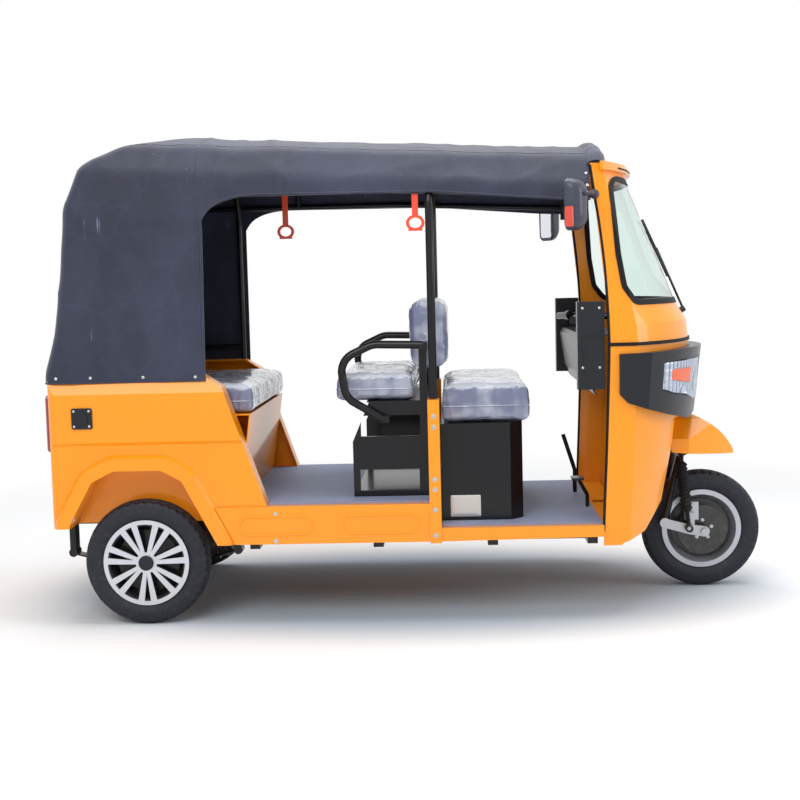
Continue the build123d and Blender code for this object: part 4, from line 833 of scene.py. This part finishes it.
# ---------------------------------------------------------------- pads
PADS = (
    # node, piece, inset from the CAD solid, voxel, cap on swelling, all in metres, fill, piped
    ("rear_seat_cushion", "rear_seat_pad", 0.006, 0.010, 0.010, 0.7, True),
    ("rear_seat_back", "rear_back_pad", 0.006, 0.011, 0.010, 0.6, False),
    ("middle_seat_cushion", "middle_seat_pad", 0.006, 0.009, 0.009, 0.7, True),
    ("driver_cushion", "driver_seat_pad", 0.006, 0.009, 0.010, 0.7, True),
    ("backrest", "driver_back_pad", 0.007, 0.009, 0.010, 0.7, False),
)
PIPING_LEVEL = 0.42             # share of a pad's height
PIPING_RADIUS = 0.0026
PAD_SMOOTHINGS = 7
SWELL_FRAMES = 20
CLOTH = {
    "quality": 4, "mass": 0.3, "tension_stiffness": 12, "compression_stiffness": 12,
    "bending_stiffness": 0.6, "use_pressure": True,
}
PAD_SLACK = ((0.004, 0.004, 0.0), (0.004, 0.004, 0.010))


def shrink(mesh, lo, hi, inset):
    """Bring a mesh's sides in towards its middle."""
    middle = [(a + b) / 2 for a, b in zip(lo, hi)]
    scale = [1 - 2 * inset / (b - a) for a, b in zip(lo, hi)]
    for v in mesh.vertices:
        v.co = Vector(m + (c - m) * s for c, m, s in zip(v.co, middle, scale))


def swell(obj, pressure, cap):
    """Inflate a pad with cloth, hold each point within the cap, and keep the result."""
    scene = bpy.context.scene
    before = [v.co.copy() for v in obj.data.vertices]
    cloth = obj.modifiers.new("Swell", "CLOTH")
    for key, value in CLOTH.items():
        setattr(cloth.settings, key, value)
    cloth.settings.uniform_pressure_force = pressure
    cloth.settings.effector_weights.gravity = 0.0
    cloth.collision_settings.use_collision = False
    cloth.point_cache.frame_start = 1
    cloth.point_cache.frame_end = SWELL_FRAMES
    for number in range(1, SWELL_FRAMES + 1):
        scene.frame_set(number)
    bake(obj)
    scene.frame_set(1)
    for start, v in zip(before, obj.data.vertices):
        move = v.co - start
        if move.length > cap:
            v.co = start + move.normalized() * cap


def crinkle(mesh, height):
    """Small folds of the film and panel channels; the face that rests stays flat."""
    for v, normal in zip(mesh.vertices, [v.normal.copy() for v in mesh.vertices]):
        if normal.z < -0.6:
            continue
        p = v.co
        steep = 1.0 - abs(normal.z) > 0.5
        along = Vector((p.x * 26, p.y * 26, p.z * 7) if steep else (p.x * 12 + p.y * 7, p.y * 17, 0))
        fold = 1 - abs(noise.noise(along + Vector((4, 8, 2))))
        bend = noise.noise(p * 30.0)
        slow = noise.noise(p * 7.0 + Vector((5, 1, 3)))
        v.co = p + normal * (height * (1.2 * fold ** 6 + 0.4 * bend + 0.8 * slow - 0.7))


def build_pad(spec, settings):
    """Crowned pad with rounded edges, grown from the CAD solid's form."""
    node, name, inset, voxel, cap, fill, piped = spec
    lo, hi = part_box(node)
    mesh = NODES[node].data.copy()
    mesh.name = name
    shrink(mesh, lo, hi, inset)
    obj = bpy.data.objects.new(name, mesh)
    bpy.context.scene.collection.objects.link(obj)
    modify(obj, "REMESH", mode="VOXEL", voxel_size=voxel)
    bm = bmesh.new()
    bm.from_mesh(obj.data)
    for _ in range(PAD_SMOOTHINGS):
        bmesh.ops.smooth_vert(bm, verts=bm.verts, factor=0.5, use_axis_x=True, use_axis_y=True, use_axis_z=True)
    bm.to_mesh(obj.data)
    bm.free()
    swell(obj, settings.pad_pressure, cap)
    modify(obj, "SUBSURF", levels=1, render_levels=1)
    crinkle(obj.data, settings.crinkle)
    # the pad stays within its CAD solid's space and the slack around it
    for v in obj.data.vertices:
        v.co = Vector(min(max(c, a - s0), b + s1) for c, a, b, s0, s1 in zip(v.co, lo, hi, *PAD_SLACK))
    finish_piece(obj, "seat_cover", "chassis")
    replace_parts(obj, node)
    shade(obj, 180)
    if piped:
        pad_piping(name + "_piping", obj, lo, hi)


def pad_piping(name, obj, lo, hi):
    """Welt sewn round a pad at a share of its height."""
    tree = surface(obj)
    middle = Vector((
        (lo[0] + hi[0]) / 2, (lo[1] + hi[1]) / 2, lo[2] + (hi[2] - lo[2]) * PIPING_LEVEL))
    ring = []
    for turn in circle(160):
        away = Vector((math.cos(turn), math.sin(turn), 0))
        reach = min((hi[i] - lo[i]) / 2 / max(abs(away[i]), 1e-3) for i in (0, 1)) + 0.05
        point, normal = hit(tree, middle + away * reach, -away)
        if point is not None:
            ring.append(point + normal * 0.001)
    bm = bmesh.new()
    sweep(bm, ring, PIPING_RADIUS, 8, closed=True)
    add_piece(name, bm, 40, "seat_cover")


# ---------------------------------------------------------------- wheels
TYRES = (
    ("front_tyre", "front_wheel", "front_tyre_tread"),
    ("rear_tyre_left", "rear_wheel_left", "rear_tyre_tread_left"),
    ("rear_tyre_right", "rear_wheel_right", "rear_tyre_tread_right"),
)
TYRE_PROFILE = (
    # across, radius: bead, sidewall, shoulder, tread
    (36, 153), (37, 169.5), (41, 175), (46.5, 188), (49.4, 200), (49.4, 208), (47.5, 222), (45.8, 231),
    (42.5, 238.5), (38, 242.3), (30, 245.4), (20, 247.9), (10, 249.5), (0, 250),
)
TREAD_BLOCKS = 44
TREAD_STEPS = 352
NUT_RING = 0.040
NUT_PROUD = 0.003
CAP_PROFILE = [(-0.002, 0.030), (0.0015, 0.030), (0.004, 0.0285), (0.0055, 0.024), (0.006, 0.012)]


def tyre_line():
    """Dense outer profile from one bead to the other, as (across, radius) in millimetres."""
    smooth = smooth_path([flat(*p) for p in TYRE_PROFILE], 5)
    half = [p for p in smooth if p.y < 232] + even([p for p in smooth if p.y >= 232], 1.9)
    return half + [flat(-p.x, p.y) for p in half[::-1][1:]]


def groove(y, turn, depth):
    """Depth of the tread pattern at a place across the tyre and round it, in millimetres."""
    phase = (turn * TREAD_BLOCKS / (2 * math.pi)) % 1.0
    zig = 3.2 * (abs(phase * 2 - 1) * 2 - 1)
    cut = 0.0
    for centre, width in ((-19, 1.9), (0, 1.7), (19, 1.9)):
        cut = max(cut, 1 - max(0.0, abs(y - centre - zig) - width) / 0.9)
    # slots that run out over the shoulder
    side = phase if y > 0 else (phase + 0.5) % 1.0
    if abs(y) > 26:
        lean = side + (abs(y) - 26) * 0.008
        cut = max(cut, 1 - max(0.0, abs((lean % 1.0) - 0.5) - 0.10) / 0.05)
    fade = 1.0 if abs(y) < 41 else max(0.0, 1 - (abs(y) - 41) / 4)
    return depth * max(0.0, min(1.0, cut)) * fade


def build_tyre(spec, settings):
    """Tyre with a zigzag road tread and moulded rings on its sidewalls."""
    node, body, name = spec
    centre = middle_of(node)
    line = tyre_line()
    bm = bmesh.new()
    rings = []
    for turn in circle(TREAD_STEPS):
        ring = []
        for p in line:
            y, radius = p.x, p.y
            if radius > 231:
                radius -= groove(y, turn, settings.tread_depth / MM)
            elif 220 < radius < 226 and (turn * 88 / math.pi) % 1.0 < 0.35:
                # short ribs on the sidewall, over its low moulded rings
                y += math.copysign(0.6, y)
            elif 203 < radius < 206 or 214 < radius < 216.5:
                y += math.copysign(0.7, y)
            y = max(-50.0, min(50.0, y))
            ring.append(bm.verts.new(centre + mm(radius * math.cos(turn), y, radius * math.sin(turn))))
        rings.append(ring)
    skin(bm, rings, closed=True)
    bmesh.ops.recalc_face_normals(bm, faces=bm.faces)
    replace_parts(add_piece(name, bm, 34, "tyre_rubber", body), node)


def wheel_fittings():
    """Nuts on the front wheel, and plain caps on the rear wheels' covers."""
    middle, tree, bm = middle_of("front_rim"), surface(NODES["front_rim"]), bmesh.new()
    for turn in (angle + 0.3 for angle in circle(5)):
        start = (middle.x + NUT_RING * math.cos(turn), -0.3, middle.z + NUT_RING * math.sin(turn))
        point, _ = hit(tree, start, (0, 1, 0))
        if point is not None:
            bolt(bm, point, Vector((0, -1, 0)), 0.010, NUT_PROUD)
    add_piece("front_wheel_nuts", bm, 30, "zinc", "front_wheel")
    for name, side in (("left", 1), ("right", -1)):
        node = "wheel_cover_" + name
        middle, bm = middle_of(node), bmesh.new()
        for point, _ in side_hits(surface(NODES[node]), [(middle.x / MM, middle.z / MM)], side):
            lathe(bm, CAP_PROFILE, point, (0, side, 0), 40)
        add_piece("cover_cap_" + name, bm, 30, "black_plastic", "rear_wheel_" + name)


# ---------------------------------------------------------------- lamps and mirrors
LAMP_AXIS = Vector((0.75, 0.0, 0.0))
LAMP_TURNS, LAMP_COLUMNS = (19.0, 54.0), 150
LAMP_HEIGHTS, LAMP_ROWS = (0.820, 0.188), 76
INDICATOR = ((42.0, 60.5), (0.902, 0.966))
BOWLS = ((33.0, 0.905, 0.046), (50.0, 0.868, 0.034))    # turn, height, radius
LENS_RADIUS = 0.46
LENS_GAP = 0.0045
LONGEST_EDGE = 0.03
MIRROR_AT = (634.0, 652.0, 1606.0)
MIRROR_TURN = 33.0
MIRROR_SHELL = (
    # along back, width, height, corner
    (26, 88, 168, 20), (28.5, 98, 182, 26), (28.5, 104, 190, 28), (24, 110, 194, 29), (8, 109, 190, 30),
    (-10, 98, 176, 32), (-24, 76, 150, 30), (-31, 48, 116, 22), (-33, 18, 60, 8),
)


def lamp_place(i, j):
    """Turn in degrees and height of a place on the lamp's grid."""
    return (LAMP_TURNS[0] + LAMP_TURNS[1] * i / (LAMP_COLUMNS - 1),
            LAMP_HEIGHTS[0] + LAMP_HEIGHTS[1] * j / (LAMP_ROWS - 1))


def in_indicator(turn, z):
    """Whether a place under the lens belongs to the amber indicator."""
    (a0, a1), (z0, z1) = INDICATOR
    return a0 < turn < a1 and z0 + 0.0012 * (turn - a0) < z < z1


def lamp_relief(turn, z):
    """Depth of the reflector under the lens: two bowls, ribs between them and a stepped rim."""
    if in_indicator(turn, z):
        return -0.002 + 0.0012 * abs(((turn * 0.9) % 1.0) - 0.5)
    depth = 0.0
    for at, height, radius in BOWLS:
        across = math.radians(turn - at) * LENS_RADIUS
        reach = math.hypot(across, z - height) / radius
        if reach < 1:
            depth = max(depth, 0.010 * (1 - reach * reach))
            depth += 0.0006 * math.cos(14 * math.atan2(z - height, across))
    if depth == 0.0:
        depth = 0.006 * abs(((turn * 0.34) % 1.0) - 0.5) + 0.004 * abs(((z * 34) % 1.0) - 0.5)
    return depth


def build_lamps():
    """Bright reflectors with pressed facets, and amber indicators, under the headlamp lenses."""
    tree = surface(NODES["headlamps"])
    kinds = []
    bm = bmesh.new()
    for side in SIDES:
        grid = {}
        for i in range(LAMP_COLUMNS):
            angle = math.radians(lamp_place(i, 0)[0])
            away = Vector((math.cos(angle), side * math.sin(angle), 0))
            for j in range(LAMP_ROWS):
                turn, z = lamp_place(i, j)
                point, normal = hit(tree, LAMP_AXIS + away * 1.2 + Vector((0, 0, z)), -away)
                if point is not None and normal.dot(away) >= 0.35 and (point - LAMP_AXIS).xy.length >= 0.2:
                    grid[i, j] = bm.verts.new(point - away * (LENS_GAP + lamp_relief(turn, z)))
        for i in range(LAMP_COLUMNS - 1):
            for j in range(LAMP_ROWS - 1):
                keys = [(i, j), (i + 1, j), (i + 1, j + 1), (i, j + 1)]
                if not all(key in grid for key in keys):
                    continue
                corners = [grid[key] for key in keys]
                if max((a.co - b.co).length for a, b in zip(corners, corners[1:])) > LONGEST_EDGE:
                    continue
                bm.faces.new(corners if side > 0 else corners[::-1])
                near = [(i + a, j + b) in grid for a in (-3, 4) for b in (0, 1)]
                near += [(i + a, j + b) in grid for a in (0, 1) for b in (-2, 3)]
                kinds.append(2 if not all(near) else int(in_indicator(*lamp_place(i + 0.5, j + 0.5))))
    piece = add_piece("headlamp_reflectors", bm, 24, "reflector")
    for key in ("amber_lens", "black_plastic"):
        piece.data.materials.append(MATERIALS[key])
    piece.data.polygons.foreach_set("material_index", kinds)


def rounded_box(width, height, corner):
    """Outline of a rectangle with rounded corners, from its upper right corner round."""
    for cx, cy, start in ((1, 1, 0), (-1, 1, 90), (-1, -1, 180), (1, -1, 270)):
        for turn in (math.radians(start + 15 * k) for k in range(7)):
            yield (cx * (width / 2 - corner) + corner * math.cos(turn),
                   cy * (height / 2 - corner) + corner * math.sin(turn))


def rounded_plate(bm, origin, right, up, width, height, corner, thick, dome=0.0):
    """Plate with rounded corners and an eased rim; dome raises its middle."""
    normal = right.cross(up)
    steps = (
        (1.0, -0.001), (1.0, thick * 0.6), (0.97, thick), (0.6, thick + dome * 0.7), (0.25, thick + dome))
    skin(bm, [
        [bm.verts.new(origin + right * (x * scale) + up * (y * scale) + normal * rise)
         for x, y in rounded_box(width, height, corner)]
        for scale, rise in steps])


def build_mirrors():
    """Turned mirror housings on their arms, with glasses that face back and side reflectors."""
    shell, glass, red = bmesh.new(), bmesh.new(), bmesh.new()
    turn = math.radians(MIRROR_TURN)
    for side in SIDES:
        middle = mm(MIRROR_AT[0], side * MIRROR_AT[1], MIRROR_AT[2])
        back = Vector((-math.cos(turn), -side * math.sin(turn), 0))
        across = UP.cross(back).normalized()
        rings = []
        for along, width, height, corner in MIRROR_SHELL:
            ring = []
            for x, z in rounded_box(width, height, corner):
                # the lower outer corner is drawn in
                x *= 1 - 0.10 * max(0.0, -z / (height / 2))
                ring.append(shell.verts.new(middle + back * along * MM + across * x * MM + UP * z * MM))
            rings.append(ring)
        skin(shell, rings)
        rounded_plate(glass, middle + back * 0.0262, across, UP, 0.084, 0.164, 0.018, 0.0014, 0.001)
        sweep(shell, smooth_path([
            middle - back * 0.022 + UP * 0.034, middle - back * 0.045 + UP * 0.040,
            mm(676, side * 596, 1653), mm(700, side * 556, 1652), mm(714, side * 531, 1650)], 6), 0.0075, 14)
        lathe(
            shell, [(-0.001, 0.019), (0.003, 0.019), (0.008, 0.015), (0.016, 0.010)],
            mm(712, side * 524.6, 1650), (0, side, 0), 24)
        face = across if across.y * side > 0 else -across
        red_at = middle - UP * 0.046 + face * 0.051 + back * 0.006
        rounded_plate(red, red_at, UP.cross(face).normalized(), UP, 0.034, 0.076, 0.007, 0.004, 0.001)
    for bm in (shell, glass, red):
        bmesh.ops.recalc_face_normals(bm, faces=bm.faces)
    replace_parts(add_piece("mirror_housings", shell, 50, "grey_plastic"), "mirrors")
    add_piece("mirror_glasses", glass, 40, "chrome")
    add_piece("mirror_reflectors", red, 40, "red_reflector")


# ---------------------------------------------------------------- trim and fittings
WELT = ((699, 1762), (716, 1640), (733, 1520), (748, 1380), (757, 1240), (761, 1130), (761, 1060),
        (758, 940), (753, 800), (747, 640), (740, 490), (734, 345))
WELT_SHIFTS = (3, 6, 9, 12, 16, 22, 30)
WELT_RADIUS = 0.0055
BROW_HALF_WIDTH = 0.44
BROW_LEAST_Z = 1.745
BROW_RADIUS = 0.0045
DASH_SCREWS = ((660, 1215), (725, 1215), (660, 985), (725, 985))
BRACKET_BOLTS = (812, 770, 566, 525, 446, 345)
SILL_BOLTS = ((-550, 439), (-550, 333))
PORT_SCREWS = tuple((x, z) for x in (-1327, -1267) for z in (802, 862))
PLATE_AT = (197, 438)


def build_welts():
    """Rubber welts along the cab's rear edges."""
    trees = [surface(NODES["cab_upper"]), surface(NODES["cab_lower"])]
    bm = bmesh.new()
    for side in SIDES:
        path = []
        for x, z in WELT:
            found = (
                point for tree in trees for shift in WELT_SHIFTS
                for point, _ in side_hits(tree, [(x + shift, z)], side, 0.45))
            point = next(found, None)
            if point is not None:
                path.append(Vector((x * MM - 0.001, point.y - side * 0.002, z * MM)))
        sweep(bm, smooth_path(path, 6), WELT_RADIUS, 10, up=Vector((0, side, 0)))
    add_piece("door_edge_welts", bm, 60, "black_rubber")


def build_brow():
    """Black strip along the front edge over the windscreen."""
    tree = surface(NODES["cab_upper"])
    path = []
    for y in (BROW_HALF_WIDTH * k / 40 for k in range(-40, 41)):
        tops = (p for x in range(980, 700, -4) for p in top_hits(tree, [(x * MM, y)]) if p.z > BROW_LEAST_Z)
        best = next(tops, None)
        if best is not None:
            path.append(best + Vector((-0.003, 0, 0.0016)))
    for _ in range(4):
        path = [sum((path[min(max(i + d, 0), len(path) - 1)] for d in range(-5, 6)), Vector()) / 11
                for i in range(len(path))]
    bm = bmesh.new()
    sweep(bm, [p + Vector((0.001, 0, 0.003)) for p in path], BROW_RADIUS, 8, flat=1.6)
    add_piece("brow_strip", bm, 60, "black_rubber")


def build_controls():
    """Brake levers and switch pods on the handlebar, and the lock and cover screws by the dash."""
    levers, pods, dash = bmesh.new(), bmesh.new(), bmesh.new()
    for side in SIDES:
        lathe(
            pods, [(-0.022, 0.019), (-0.02, 0.022), (0.02, 0.022), (0.023, 0.019)],
            mm(742, side * 262, 1172), Vector((-0.55, side * 0.83, 0.08)), 20)
        sweep(levers, smooth_path([
            mm(764, side * 262, 1168), mm(752, side * 290, 1160), mm(716, side * 330, 1152),
            mm(680, side * 364, 1148)], 6), 0.0055, 10, flat=0.6)
    add_piece("brake_levers", levers, 50, "alloy", "steering")
    add_piece("switch_pods", pods, 40, "black_plastic", "steering")
    tree = surface(NODES["dashboard"])
    for side in SIDES:
        for point, normal in side_hits(tree, DASH_SCREWS, side):
            screw(dash, point, normal, 0.0052, 0.0026)
    point, normal = hit(tree, (0.30, -0.30, 1.150), (1, 0, 0))
    if point is not None:
        lathe(dash, [(-0.001, 0.017), (0.012, 0.017), (0.014, 0.015), (0.0145, 0.006)], point, normal, 28)
    add_piece("dash_fittings", dash, 40, "zinc")


def build_fasteners():
    """Bolts, the charging port's screws and the bare plate."""
    bm = bmesh.new()
    sills = surface(NODES["side_sills"])
    for side in SIDES:
        for z in BRACKET_BOLTS:
            bolt(bm, mm(78, side * 575, z), Vector((0, side, 0)), 0.013, 0.006)
        for point, normal in side_hits(sills, SILL_BOLTS, side, 0.5):
            bolt(bm, point, normal, 0.012, 0.005)
    add_piece("body_bolts", bm, 30, "zinc")

    # the port and the plate are on the near side only
    bm = bmesh.new()
    for point, normal in side_hits(surface(NODES["charge_port"]), PORT_SCREWS, -1):
        screw(bm, point, normal, 0.0048, 0.0024)
    add_piece("charge_port_screws", bm, 30, "zinc")

    bm = bmesh.new()
    for point, normal in side_hits(surface(NODES["driver_seat_box"]), [PLATE_AT], -1):
        right = UP.cross(normal).normalized()
        rounded_plate(bm, point - normal * 0.0004, right, normal.cross(right), 0.120, 0.086, 0.004, 0.0014)
        for dx in (-0.053, 0.053):
            for dz in (-0.036, 0.036):
                screw(bm, point + Vector((dx, 0, dz)) + normal * 0.001, normal, 0.0032, 0.0016)
    add_piece("bare_plate", bm, 30, "bare_plate")


# ---------------------------------------------------------------- operators
class OBJECT_OT_rickshaw_finishes(bpy.types.Operator):
    """Give each CAD node its procedural finish"""
    bl_idname = "object.rickshaw_finishes"
    bl_label = "Apply Finishes"
    bl_options = {"REGISTER", "UNDO"}

    def execute(self, context):
        make_groups()
        MATERIALS.update(make_materials())
        keys = {part["node"]: part["material_slot"] for part in frame["record"]["subparts"]}
        keys["front_rim"] = "rim_two_tone"
        for name, obj in NODES.items():
            for slot in obj.material_slots:
                slot.link = "OBJECT"
                slot.material = MATERIALS[keys[name]]
        return {"FINISHED"}


class OBJECT_OT_rickshaw_canopy(bpy.types.Operator):
    """Add the canopy cloth with its bindings, seams, studs and front roll"""
    bl_idname = "object.rickshaw_canopy"
    bl_label = "Add Canopy"
    bl_options = {"REGISTER", "UNDO"}

    def execute(self, context):
        canopy = build_canopy(context.scene.rickshaw)
        finish_piece(canopy, "canvas", "chassis")
        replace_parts(canopy, "canopy")
        trim = canopy_trim(canopy)
        return {"FINISHED"}


class OBJECT_OT_rickshaw_pads(bpy.types.Operator):
    """Add the five pads with their piping"""
    bl_idname = "object.rickshaw_pads"
    bl_label = "Add Pads"
    bl_options = {"REGISTER", "UNDO"}

    def execute(self, context):
        for spec in PADS:
            build_pad(spec, context.scene.rickshaw)
        return {"FINISHED"}


class OBJECT_OT_rickshaw_tyres(bpy.types.Operator):
    """Add the treaded tyres and the wheels' nuts and caps"""
    bl_idname = "object.rickshaw_tyres"
    bl_label = "Add Tyres"
    bl_options = {"REGISTER", "UNDO"}

    def execute(self, context):
        for spec in TYRES:
            build_tyre(spec, context.scene.rickshaw)
        wheel_fittings()
        return {"FINISHED"}


class OBJECT_OT_rickshaw_details(bpy.types.Operator):
    """Add lamp internals, mirrors, trim, controls and fasteners"""
    bl_idname = "object.rickshaw_details"
    bl_label = "Add Details"
    bl_options = {"REGISTER", "UNDO"}

    def execute(self, context):
        for build in (build_lamps, build_mirrors, build_welts, build_brow, build_controls, build_fasteners):
            build()
        return {"FINISHED"}


class OBJECT_OT_rickshaw_stage(bpy.types.Operator):
    """Add the floor, the lamps, the world and the camera"""
    bl_idname = "object.rickshaw_stage"
    bl_label = "Add Stage"
    bl_options = {"REGISTER", "UNDO"}

    def execute(self, context):
        build_stage(context.scene)
        return {"FINISHED"}


# ---------------------------------------------------------------- stage
CAMERA_AT = (0.161, -5.53, 1.335)
CAMERA_TURNS = (("Z", 2.435), ("X", 90 - 5.253), ("Z", -1.466))     # yaw, tilt, roll in degrees
CAMERA_LENS = 57.92
LAMPS = (
    # name, place, aim, size, share of the key lamp's power
    ("key", (-1.6, -5.2, 4.6), (0.0, 0.0, 0.9), (4.5, 3.0), 1.0),
    ("top", (0.2, 0.3, 5.2), (0.0, 0.0, 0.6), (5.0, 3.5), 1.1),
    ("front", (5.6, -1.6, 2.6), (0.4, 0.0, 0.9), (2.6, 2.6), 0.45),
)
SOFT_WORLD = ((0.93, 0.96, 1.0, 1), 0.48)
FLOOR_SPAN = 40.0
# tones of the painted shadow under the vehicle and of the open floor
PAINTED_SHADOW_TONES = ((0.46, 0.54, 0.62, 1), (0.94, 0.94, 0.94, 1))
PAINTED_SHADOW_REACH = (0.5, 0.98)       # where the painted shadow under the vehicle ends, in squeezed metres
FLOOR_GLOW = (2.2, 4.6)        # where the floor turns into a plain white glow, in metres


def build_world(scene):
    """Surroundings that are white to look at, in reflections and through glass, and softer as a light."""
    scene.world = bpy.data.worlds.new("Studio")
    scene.world.use_nodes = True
    tree = scene.world.node_tree
    tree.nodes.clear()
    rays = add(tree, "LightPath").outputs
    clear = maths(tree, "MAXIMUM", rays["Is Glossy Ray"], rays["Is Transmission Ray"])
    seen = maths(tree, "MAXIMUM", rays["Is Camera Ray"], clear)
    white = add(tree, "Background", Color=(1, 1, 1, 1), Strength=1.0).outputs[0]
    soft = add(tree, "Background", Color=SOFT_WORLD[0], Strength=SOFT_WORLD[1]).outputs[0]
    add(tree, "OutputWorld", Surface=add(tree, "MixShader", i0=seen, i1=soft, i2=white).outputs[0])


def build_floor():
    """Pale floor with a painted shadow, a cooler and darker tone, under the vehicle, and a plain white glow far
    from it.
    """
    bm = bmesh.new()
    bm.faces.new([
        bm.verts.new((x * FLOOR_SPAN, y * FLOOR_SPAN, 0.0)) for x, y in ((-1, -1), (1, -1), (1, 1), (-1, 1))])
    floor = link_mesh("floor", bm)
    material, tree, shader = new_material("floor", 0.9, specular=0.1)
    coords = add(tree, "TexCoord").outputs["Object"]
    # painted shadow: a cooler, darker tone under the vehicle, which also takes the paint's colour out of the
    # rendered shadow
    squeezed = add(tree, "VectorMath", {"operation": "MULTIPLY"}, i0=coords, i1=(0.5, 1.0, 1.0)).outputs[0]
    painted_shadow_distance, away = (
        add(tree, "VectorMath", {"operation": "LENGTH"}, i0=place).outputs["Value"]
        for place in (squeezed, coords))
    connect(tree, shader.inputs, Base_Color=mix_colour(tree, ramp(tree, painted_shadow_distance, *PAINTED_SHADOW_REACH), *PAINTED_SHADOW_TONES))
    # beyond the shadow the floor glows white, so that it meets the surroundings with no edge
    light = add(tree, "Emission", Strength=1.0).outputs[0]
    blend = add(tree, "MixShader", i0=ramp(tree, away, *FLOOR_GLOW), i1=shader.outputs[0], i2=light)
    connect(tree, tree.nodes["Material Output"].inputs, Surface=blend.outputs[0])
    floor.data.materials.append(material)


def build_stage(scene):
    """White surroundings, pale floor that keeps the shadow and has a painted shadow under the vehicle, soft lamps
    and the camera.
    """
    build_world(scene)
    build_floor()
    for name, at, target, size, share in LAMPS:
        data = bpy.data.lights.new(name, "AREA")
        data.shape = "RECTANGLE"
        data.size, data.size_y = size
        data.energy = scene.rickshaw.key_power * share
        lamp = bpy.data.objects.new(name, data)
        lamp.location = at
        lamp.rotation_euler = (Vector(target) - Vector(at)).to_track_quat("-Z", "Y").to_euler()
        scene.collection.objects.link(lamp)

    data = bpy.data.cameras.new("Camera")
    data.lens = CAMERA_LENS
    data.sensor_width = 36.0
    data.clip_end = 200.0
    camera = bpy.data.objects.new("Camera", data)
    place = Matrix.Translation(CAMERA_AT)
    for axis, angle in CAMERA_TURNS:
        place @= Matrix.Rotation(math.radians(angle), 4, axis)
    camera.matrix_world = place
    scene.collection.objects.link(camera)
    scene.camera = camera
    scene.view_settings.view_transform = "Standard"


class VIEW3D_PT_rickshaw(bpy.types.Panel):
    """Buttons that build the dressing, in order."""
    bl_label = "Rickshaw"
    bl_idname = "VIEW3D_PT_rickshaw"
    bl_space_type = "VIEW_3D"
    bl_region_type = "UI"
    bl_category = "Rickshaw"

    def draw(self, context):
        layout = self.layout
        for name in RickshawSettings.__annotations__:
            layout.prop(context.scene.rickshaw, name)
        for operator in OPERATORS:
            layout.operator(operator.bl_idname)


OPERATORS = (
    OBJECT_OT_rickshaw_finishes,
    OBJECT_OT_rickshaw_canopy,
    OBJECT_OT_rickshaw_pads,
    OBJECT_OT_rickshaw_tyres,
    OBJECT_OT_rickshaw_details,
    OBJECT_OT_rickshaw_stage,
)
CLASSES = (RickshawSettings, *OPERATORS, VIEW3D_PT_rickshaw)


def register():
    for cls in CLASSES:
        bpy.utils.register_class(cls)
    bpy.types.Scene.rickshaw = bpy.props.PointerProperty(type=RickshawSettings)


def unregister():
    del bpy.types.Scene.rickshaw
    for cls in reversed(CLASSES):
        bpy.utils.unregister_class(cls)


def main():
    """Build everything in order."""
    register()
    bpy.ops.object.rickshaw_finishes()
    bpy.ops.object.rickshaw_canopy()
    bpy.ops.object.rickshaw_pads()
    bpy.ops.object.rickshaw_tyres()
    bpy.ops.object.rickshaw_details()
    bpy.ops.object.rickshaw_stage()


if __name__ == "__main__":
    main()
